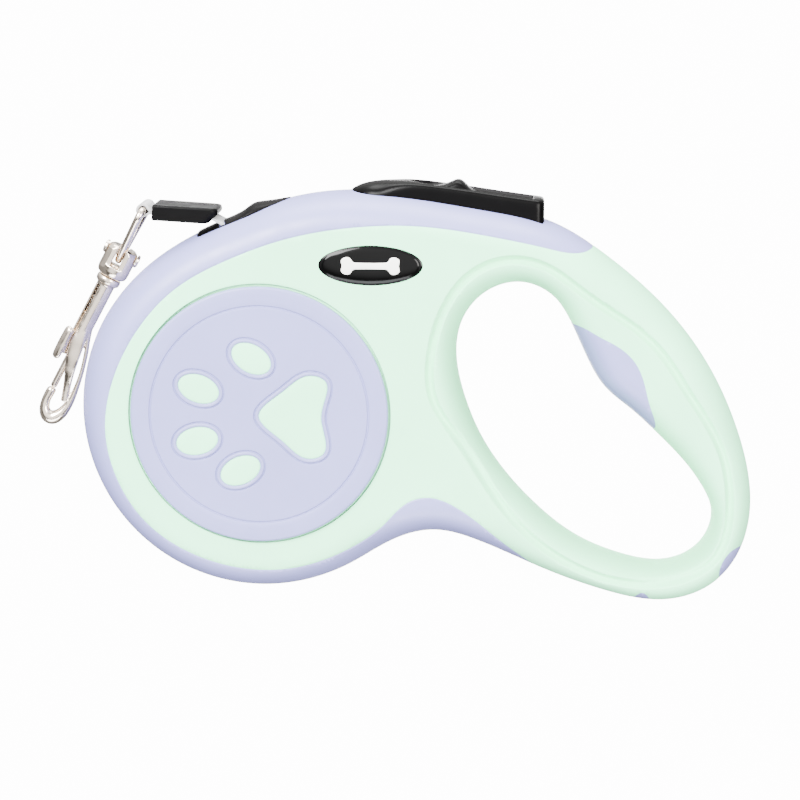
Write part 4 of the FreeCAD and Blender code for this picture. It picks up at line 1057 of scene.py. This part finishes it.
def outlet_top(x, y):
    """A little proud of the casing's rounded top, with a crest over the mouth."""
    share = min(abs(y) / outlet_width(x), 1.0)
    proud = eased(x, OUTLET_RISE, 0.6) * (1 - share**3.2) ** (1 / 2.4)
    return casing_top(x) - inset_for(abs(y)) + 0.12 * (1 - share**8) + proud


def make_outlet():
    low, high = OUTLET_ENDS
    even = np.linspace(0, 1, 110)
    places = low + (high - low) * (0.3 * (1 - np.cos(math.pi * even)) + 0.4 * even)
    hood = bar("tape_outlet_hood", places, outlet_width, outlet_top, lambda x: casing_top(x) - 2.6, 51)
    run = Matrix.Translation(MOUTH) @ Matrix.Rotation(math.atan2(-PULL.z, PULL.x), 4, "Y")
    carve(hood, OUTLET_SLOT, REEL_FRAME @ run)
    hood.data.set_sharp_from_angle(angle=math.radians(50))
    finish_piece(hood, "casing", "outlet", black_satin, "tape_outlet")


def tape_line():
    """The middle of the tape: out of the mouth, through the sleeve, round the link's bar and back."""
    to_reel = TO_REEL @ SLEEVE_FRAME
    bar_at = to_reel.inverted() @ BAR
    turn = bar_at.x + LOOP_REACH
    sleeved = [(x, PLY_LIFT) for x in np.linspace(4.0, turn, 26)]
    for angle in np.radians(np.linspace(52, 308, 30)):
        sleeved.append((bar_at.x + LOOP_RADIUS * math.cos(angle), bar_at.z + LOOP_RADIUS * math.sin(angle)))
    sleeved += [(x, -PLY_LIFT) for x in np.linspace(turn, 3.0, 26)]
    inside_run = [MOUTH - PULL * s for s in np.linspace(9.0, 0.0, 10)]
    outside_run = [MOUTH + PULL * s for s in np.linspace(0.4, 3.4, 16)]
    return inside_run + outside_run + [to_reel @ Vector((x, 0, z)) for x, z in sleeved]


def make_tape():
    flat = np.array([(p.x, p.z) for p in tape_line()])
    along = unit(np.gradient(flat, axis=0))
    beside = np.stack([-along[:, 1], along[:, 0]], axis=1)
    half, edge = TAPE_THICKNESS / 2, TAPE_WIDTH / 2
    section = [(TAPE_FRAY - edge, -half), (-edge, 0.0), (TAPE_FRAY - edge, half)]
    section += [(y, half) for y in np.linspace(TAPE_FLAT_MARGIN - edge, edge - TAPE_FLAT_MARGIN, 9)]
    section += [(-y, -lift) for y, lift in section]
    verts = []
    for (x, z), (out_x, out_z) in zip(flat, beside):
        verts += [(x + out_x * lift, y, z + out_z * lift) for y, lift in section]
    tape = new_object("leash_tape", verts, tube_faces(len(flat), len(section)), sharp=60)
    finish_piece(tape, None, "tape", tape_cloth, "tape_run", "tape_end")
    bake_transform(tape)


SLEEVE_PROFILE = [(-8.7, -2.1), (6.3, -2.1), (8.9, 0.6), (8.6, 2.1), (-8.7, 2.1)]
SLEEVE_HALF_WIDTH = 7.25
SLEEVE_CORNERS_PAST = 6


def make_sleeve():
    verts = [(x, y, z) for y in (-SLEEVE_HALF_WIDTH, SLEEVE_HALF_WIDTH) for x, z in SLEEVE_PROFILE]
    sleeve = new_object("end_sleeve_block", verts, tube_faces(2, len(SLEEVE_PROFILE)), to_frame=SLEEVE_FRAME)
    mesh = bmesh.new()
    mesh.from_mesh(sleeve.data)
    to_sleeve = SLEEVE_FRAME.inverted()
    corners = []
    for line in mesh.edges:
        a, b = (to_sleeve @ v.co for v in line.verts)
        if min(a.x, b.x) > SLEEVE_CORNERS_PAST and abs(a.y - b.y) < 1:
            corners.append(line)
    bmesh.ops.bevel(mesh, geom=corners, offset=2.0 * MM, segments=5, affect="EDGES", profile=0.5)
    mesh.to_mesh(sleeve.data)
    mesh.free()
    soften = sleeve.modifiers.new("edges", "BEVEL")
    soften.width = 0.55 * MM
    soften.segments = 4
    soften.limit_method = "ANGLE"
    soften.angle_limit = math.radians(28)
    apply_modifiers(sleeve)
    sleeve.data.shade_smooth()
    finish_piece(sleeve, "tape_end", "sleeve", black_satin, "end_sleeve")


# ---------------- link, clevis and snap hook

# y, z and radius of each corner, and the wire's half thickness in the link's plane and across it
LINK_CORNERS = [(0.0, 8.0, 1.95), (5.45, 20.0, 2.02), (-5.45, 20.0, 2.02)]
LINK_WIRE = (0.96, 0.98)


def link_line(count=150):
    """The link's centreline: a triangle with rounded corners, wide at the bar, in its own yz plane."""
    points = []
    for i, (y, z, radius) in enumerate(LINK_CORNERS):
        before, after = LINK_CORNERS[i - 1], LINK_CORNERS[(i + 1) % 3]
        arrive = math.atan2(z - before[1], y - before[0]) - math.pi / 2
        leave = math.atan2(after[1] - z, after[0] - y) - math.pi / 2
        if leave < arrive:
            leave += 2 * math.pi
        for angle in np.linspace(arrive, leave, 14):
            points.append((y + radius * math.cos(angle), z + radius * math.sin(angle)))
    ring = np.array(points + points[:1])
    length = np.concatenate([[0], np.cumsum(lengths(np.diff(ring, axis=0)))])
    spots = np.linspace(0, length[-1], count, endpoint=False)
    return np.stack([np.interp(spots, length, ring[:, k]) for k in (0, 1)], axis=1)


def make_eye_link(sides=24):
    ring = link_line()
    wide, deep = LINK_WIRE
    verts = []
    for centre, beside in zip(ring, outward(ring)):
        for angle in around(sides):
            y, z = centre + beside * wide * math.cos(angle)
            verts.append((deep * math.sin(angle), y, z))
    link = new_object("eye_link_ring", verts, ring_faces(len(ring), sides, closed=True), SNAP_FRAME)
    finish_piece(link, "eye_link", "nickel", nickel, "eye_link")


CLEVIS_EARS = [(-4.3, -1.2), (1.2, 4.3)]
CLEVIS_FOOT = [(0, 1.25), (3.5, 1.25), (4.05, 1.7), (4.3, 2.6), (4.35, 4.2), (0, 4.2)]
CLEVIS_BACK = [(0, 0), (4.35, 0), (4.35, 8.6), (3.9, 9.5), (3.2, 9.95), (0, 9.95)]
CLEVIS_PIN_HEIGHT = 8.0
# the lower half of the pin's outline, which is the same upside down
CLEVIS_PIN = [(0, -5.1), (1.3, -5.1), (1.7, -4.9), (1.8, -4.6), (1.8, -4.25), (0.9, -4.25)]


def make_clevis():
    """A round-backed fork with a turned foot, and its cross pin with two flat heads."""
    ears = [slab(xs, (-3.6, 3.6), (3.0, 9.9)) for xs in CLEVIS_EARS]
    fork = cast("clevis_fork", [*ears, lathe(CLEVIS_FOOT)], 0.12)
    carve(fork, lathe(CLEVIS_BACK), SNAP_FRAME, "INTERSECT")
    melt(fork, 0.1)
    fork.data.shade_smooth()
    finish_piece(fork, "clevis", "nickel", nickel, "swivel_clevis")
    verts, faces = lathe(CLEVIS_PIN + [(radius, -z) for radius, z in reversed(CLEVIS_PIN)], 32)
    lying = [(z, y, CLEVIS_PIN_HEIGHT - x) for x, y, z in verts]
    pin = new_object("clevis_cross_pin", lying, faces, SNAP_FRAME, sharp=35)
    finish_piece(pin, "clevis", "nickel", nickel, "clevis_pin")


SLOT_TURN = math.radians(224)
# (x, y, z, half width, half depth) along the hook's outer limb, bow and tip, along its leaf, and along
# the bolt's thumb knob
HOOK_LIMB = [
    (1.0, 0.0, -12.5, 0.9, 1.3), (1.9, 0.0, -15.4, 0.8, 1.3), (2.8, 0.0, -18.0, 0.66, 1.3),
    (3.8, 0.0, -20.9, 0.62, 1.3), (5.1, 0.0, -26.1, 0.62, 1.3), (5.85, 0.0, -31.4, 0.8, 1.4),
    (5.95, 0.0, -35.2, 1.1, 1.5), (5.3, 0.0, -38.6, 1.55, 1.7), (3.9, 0.0, -40.8, 1.9, 1.8),
    (2.2, 0.0, -41.1, 1.85, 1.75), (0.65, 0.0, -39.8, 1.45, 1.55), (-0.05, 0.0, -37.5, 1.25, 1.35),
    (-0.1, 0.0, -35.3, 1.3, 1.3), (0.0, 0.0, -34.1, 1.25, 1.25), (0.0, 0.0, -33.5, 0.95, 0.95),
]
HOOK_LEAF = [
    (0.9, -1.7, -13.6, 0.5, 0.5), (0.4, -1.85, -16.0, 1.5, 0.62), (0.3, -1.95, -18.2, 2.1, 0.6),
    (0.7, -1.95, -20.8, 2.15, 0.5), (1.4, -1.9, -24.0, 1.85, 0.45), (2.4, -1.5, -27.8, 1.4, 0.5),
    (3.4, -0.8, -31.4, 1.1, 0.7), (4.6, -0.2, -35.4, 1.1, 1.2),
]
THUMB_KNOB = [
    (4.05, 0.0, -25.3, 0.3, 0.45), (4.1, 0.0, -25.0, 0.7, 0.95), (4.15, 0.0, -24.1, 0.95, 1.4),
    (4.2, 0.0, -20.4, 1.0, 1.5), (4.15, 0.0, -16.9, 0.95, 1.4), (4.1, 0.0, -16.0, 0.7, 0.95),
    (4.05, 0.0, -15.7, 0.3, 0.45),
]
BARREL = [
    (0, -20.6), (1.9, -20.6), (2.3, -20.3), (2.5, -19.7), (2.5, -1.3), (2.9, -1.1), (3.3, -0.75),
    (3.4, 0.0), (3.3, 0.75), (2.9, 1.0), (0, 1.0),
]
SWIVEL_STEM = [(0, 0.5), (1.2, 0.5), (1.2, 3.6), (2.1, 3.6), (2.1, 4.6), (0, 4.6)]
BOLT_BORE = [(0, -26.0), (1.35, -26.0), (1.35, -2.4), (0, -2.4)]
BOLT_ROD = [
    (0, -33.3), (0.6, -33.3), (0.85, -33.0), (0.9, -32.6), (0.9, -23.4), (1.2, -22.9), (1.2, -10.9),
    (1.0, -10.6), (0, -10.6),
]


def limb(rows, count):
    """A rod whose place and thickness follow a Catmull-Rom line through the rows."""
    p = np.array([rows[0], *rows, rows[-1]], float)
    line = []
    for t in np.linspace(0, len(rows) - 1 - 1e-9, count):
        k, u = int(t), t % 1
        a, b, c, d = p[k:k + 4]
        bent = (2 * a - 5 * b + 4 * c - d) * u**2 + (3 * b - a - 3 * c + d) * u**3
        line.append((2 * b + (c - a) * u + bent) / 2)
    line = np.array(line)
    return sweep(line[:, :3], np.maximum(line[:, 3:], 0.2))


def beside_slot(solid):
    """A solid of the snap turned to the side where its slot is."""
    return turned(solid[0], SLOT_TURN), solid[1]


def make_snap():
    """The barrel with its swivel stem, hook and leaf, slotted and bored for the bolt."""
    slot = slab((0, 6.0), (-0.62, 0.62), (-24.6, -2.0))
    parts = [lathe(BARREL), lathe(SWIVEL_STEM), limb(HOOK_LIMB, 90), limb(HOOK_LEAF, 60)]
    body = cast("snap_hook_body", parts, 0.16, cutters=[beside_slot(slot), lathe(BOLT_BORE)])
    finish_piece(body, "snap_hook", "nickel", nickel, "snap_body")


def make_bolt():
    """The sliding bolt: a rod under a thumb knob."""
    neck = slab((0.4, 3.9), (-0.45, 0.45), (-23.4, -16.4))
    parts = [lathe(BOLT_ROD, 32), beside_slot(neck), beside_slot(limb(THUMB_KNOB, 48))]
    finish_piece(cast("snap_bolt_knob", parts, 0.1), "snap_bolt", "nickel", nickel, "snap_bolt")


BOLT_SPRING_ENDS = (-10.45, -2.6)
BOLT_SPRING_TURNS = 6
BOLT_SPRING_RADIUS = 0.95
BOLT_SPRING_WIRE = 0.16


def make_bolt_spring(sides=10, steps=180):
    """The coil between the bolt and the end of its bore, drawn at one fixed length."""
    low, high = BOLT_SPRING_ENDS
    verts = []
    for share in np.linspace(0, 1, steps):
        angle = 2 * math.pi * BOLT_SPRING_TURNS * share
        centre = low + BOLT_SPRING_WIRE + (high - low - 2 * BOLT_SPRING_WIRE) * share
        for turn in around(sides):
            reach = BOLT_SPRING_RADIUS + BOLT_SPRING_WIRE * math.cos(turn)
            height = centre + BOLT_SPRING_WIRE * math.sin(turn)
            verts.append((reach * math.cos(angle), reach * math.sin(angle), height))
    spring = new_object("bolt_spring_coil", verts, tube_faces(steps, sides), SNAP_FRAME)
    finish_piece(spring, "snap_hook", "spring_steel", spring_steel, "bolt_spring")
    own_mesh(spring)


# ---------------- CAD nodes that stay

KEPT_NODES = [
    (natural_plastic, ("reel", "reel_cheek", "brake_pawl")),
    (steel, ("cheek_screws", "spring_arbor", "arbor_screws", "thrust_washers", "lever_pin", "pawl_pin")),
    (spring_steel, ("power_spring", "lever_spring", "pawl_spring")),
    (tape_cloth, ("wound_tape",)),
]


def finish_kept_nodes():
    for material, names in KEPT_NODES:
        for name in names:
            materials = frame["nodes"][name].data.materials
            materials.clear()
            materials.append(material)


# ---------------- light and camera

CAMERA_TARGET = Vector((-0.0658, 0, -0.01145))
CAMERA_AZIMUTH = math.radians(3)
CAMERA_ELEVATION = math.radians(10)
CAMERA_DISTANCE = 0.8
CAMERA_LENS = 133.33
AWAY = Vector((
    math.sin(CAMERA_AZIMUTH) * math.cos(CAMERA_ELEVATION),
    -math.cos(CAMERA_AZIMUTH) * math.cos(CAMERA_ELEVATION),
    math.sin(CAMERA_ELEVATION),
))


def aimed(thing, target):
    thing.rotation_mode = "QUATERNION"
    thing.rotation_quaternion = (target - thing.location).to_track_quat("-Z", "Y")


def soft_light(name, place, size, power, colour=(1, 1, 1)):
    lamp = bpy.data.lights.new(name, "AREA")
    lamp.shape = "RECTANGLE"
    lamp.size, lamp.size_y = size
    lamp.energy = power
    lamp.color = colour
    thing = add_object(name, lamp)
    thing.location = place
    aimed(thing, CAMERA_TARGET)


def world_share(tree, direction, near, far, low, high):
    """A world value that is high within near degrees of a direction and low beyond far degrees."""
    place = add_node(tree, "TexCoord", {})
    vectors = {0: place.outputs["Generated"], 1: direction.normalized()}
    share = {
        "From Min": math.cos(math.radians(far)), "From Max": math.cos(math.radians(near)),
        "To Min": low, "To Max": high,
        "Value": add_node(tree, "VectorMath", vectors, operation="DOT_PRODUCT").outputs["Value"],
    }
    return add_node(tree, "MapRange", share, interpolation_type="SMOOTHSTEP").outputs["Result"]


def make_studio():
    """A white backdrop behind the leash, a dim room in front of it, and four soft lights."""
    world = bpy.data.worlds.new("studio")
    bpy.context.scene.world = world
    world.use_nodes = True
    tree = world.node_tree
    sky = world_share(tree, Vector((0, 0, 1)), 25, 88, 0.4, 2.6)
    room = world_share(tree, Vector((0, -1, 0)), 15, 75, 1.0, 0.12)
    backdrop = world_share(tree, -AWAY, 11.5, 19, 0.0, 14.0)
    front = world_share(tree, AWAY, 20, 42, 0.0, 2.9)
    dimmed = add_node(tree, "Math", {0: sky, 1: room, 2: backdrop}, operation="MULTIPLY_ADD")
    total = add_node(tree, "Math", {0: dimmed.outputs["Value"], 1: front}, operation="ADD")
    tree.links.new(total.outputs["Value"], tree.nodes["Background"].inputs["Strength"])
    tree.nodes["Background"].inputs["Color"].default_value = (1, 1, 1, 1)
    soft_light("key", (-0.75, -1.15, 0.95), (0.8, 0.8), 135)
    soft_light("fill", (0.95, -1.2, 0.25), (0.7, 0.9), 62, (1.0, 0.97, 0.94))
    soft_light("top", (0.0, 0.15, 1.3), (1.2, 0.7), 46)
    soft_light("low", (-0.2, -0.8, -0.9), (1.0, 0.5), 26, (0.95, 0.97, 1.0))


def make_camera():
    camera = add_object("camera", bpy.data.cameras.new("camera"))
    camera.location = CAMERA_TARGET + AWAY * CAMERA_DISTANCE
    aimed(camera, CAMERA_TARGET)
    camera.data.lens = CAMERA_LENS
    camera.data.sensor_width = 36
    camera.data.clip_start = 0.05
    camera.data.clip_end = 30
    bpy.context.scene.camera = camera


make_camera()
make_casing()
make_discs()
make_badges()
make_screws()
make_lever()
make_lock_slider()
make_outlet()
make_tape()
make_sleeve()
make_eye_link()
make_clevis()
make_snap()
make_bolt()
make_bolt_spring()
finish_kept_nodes()
make_studio()
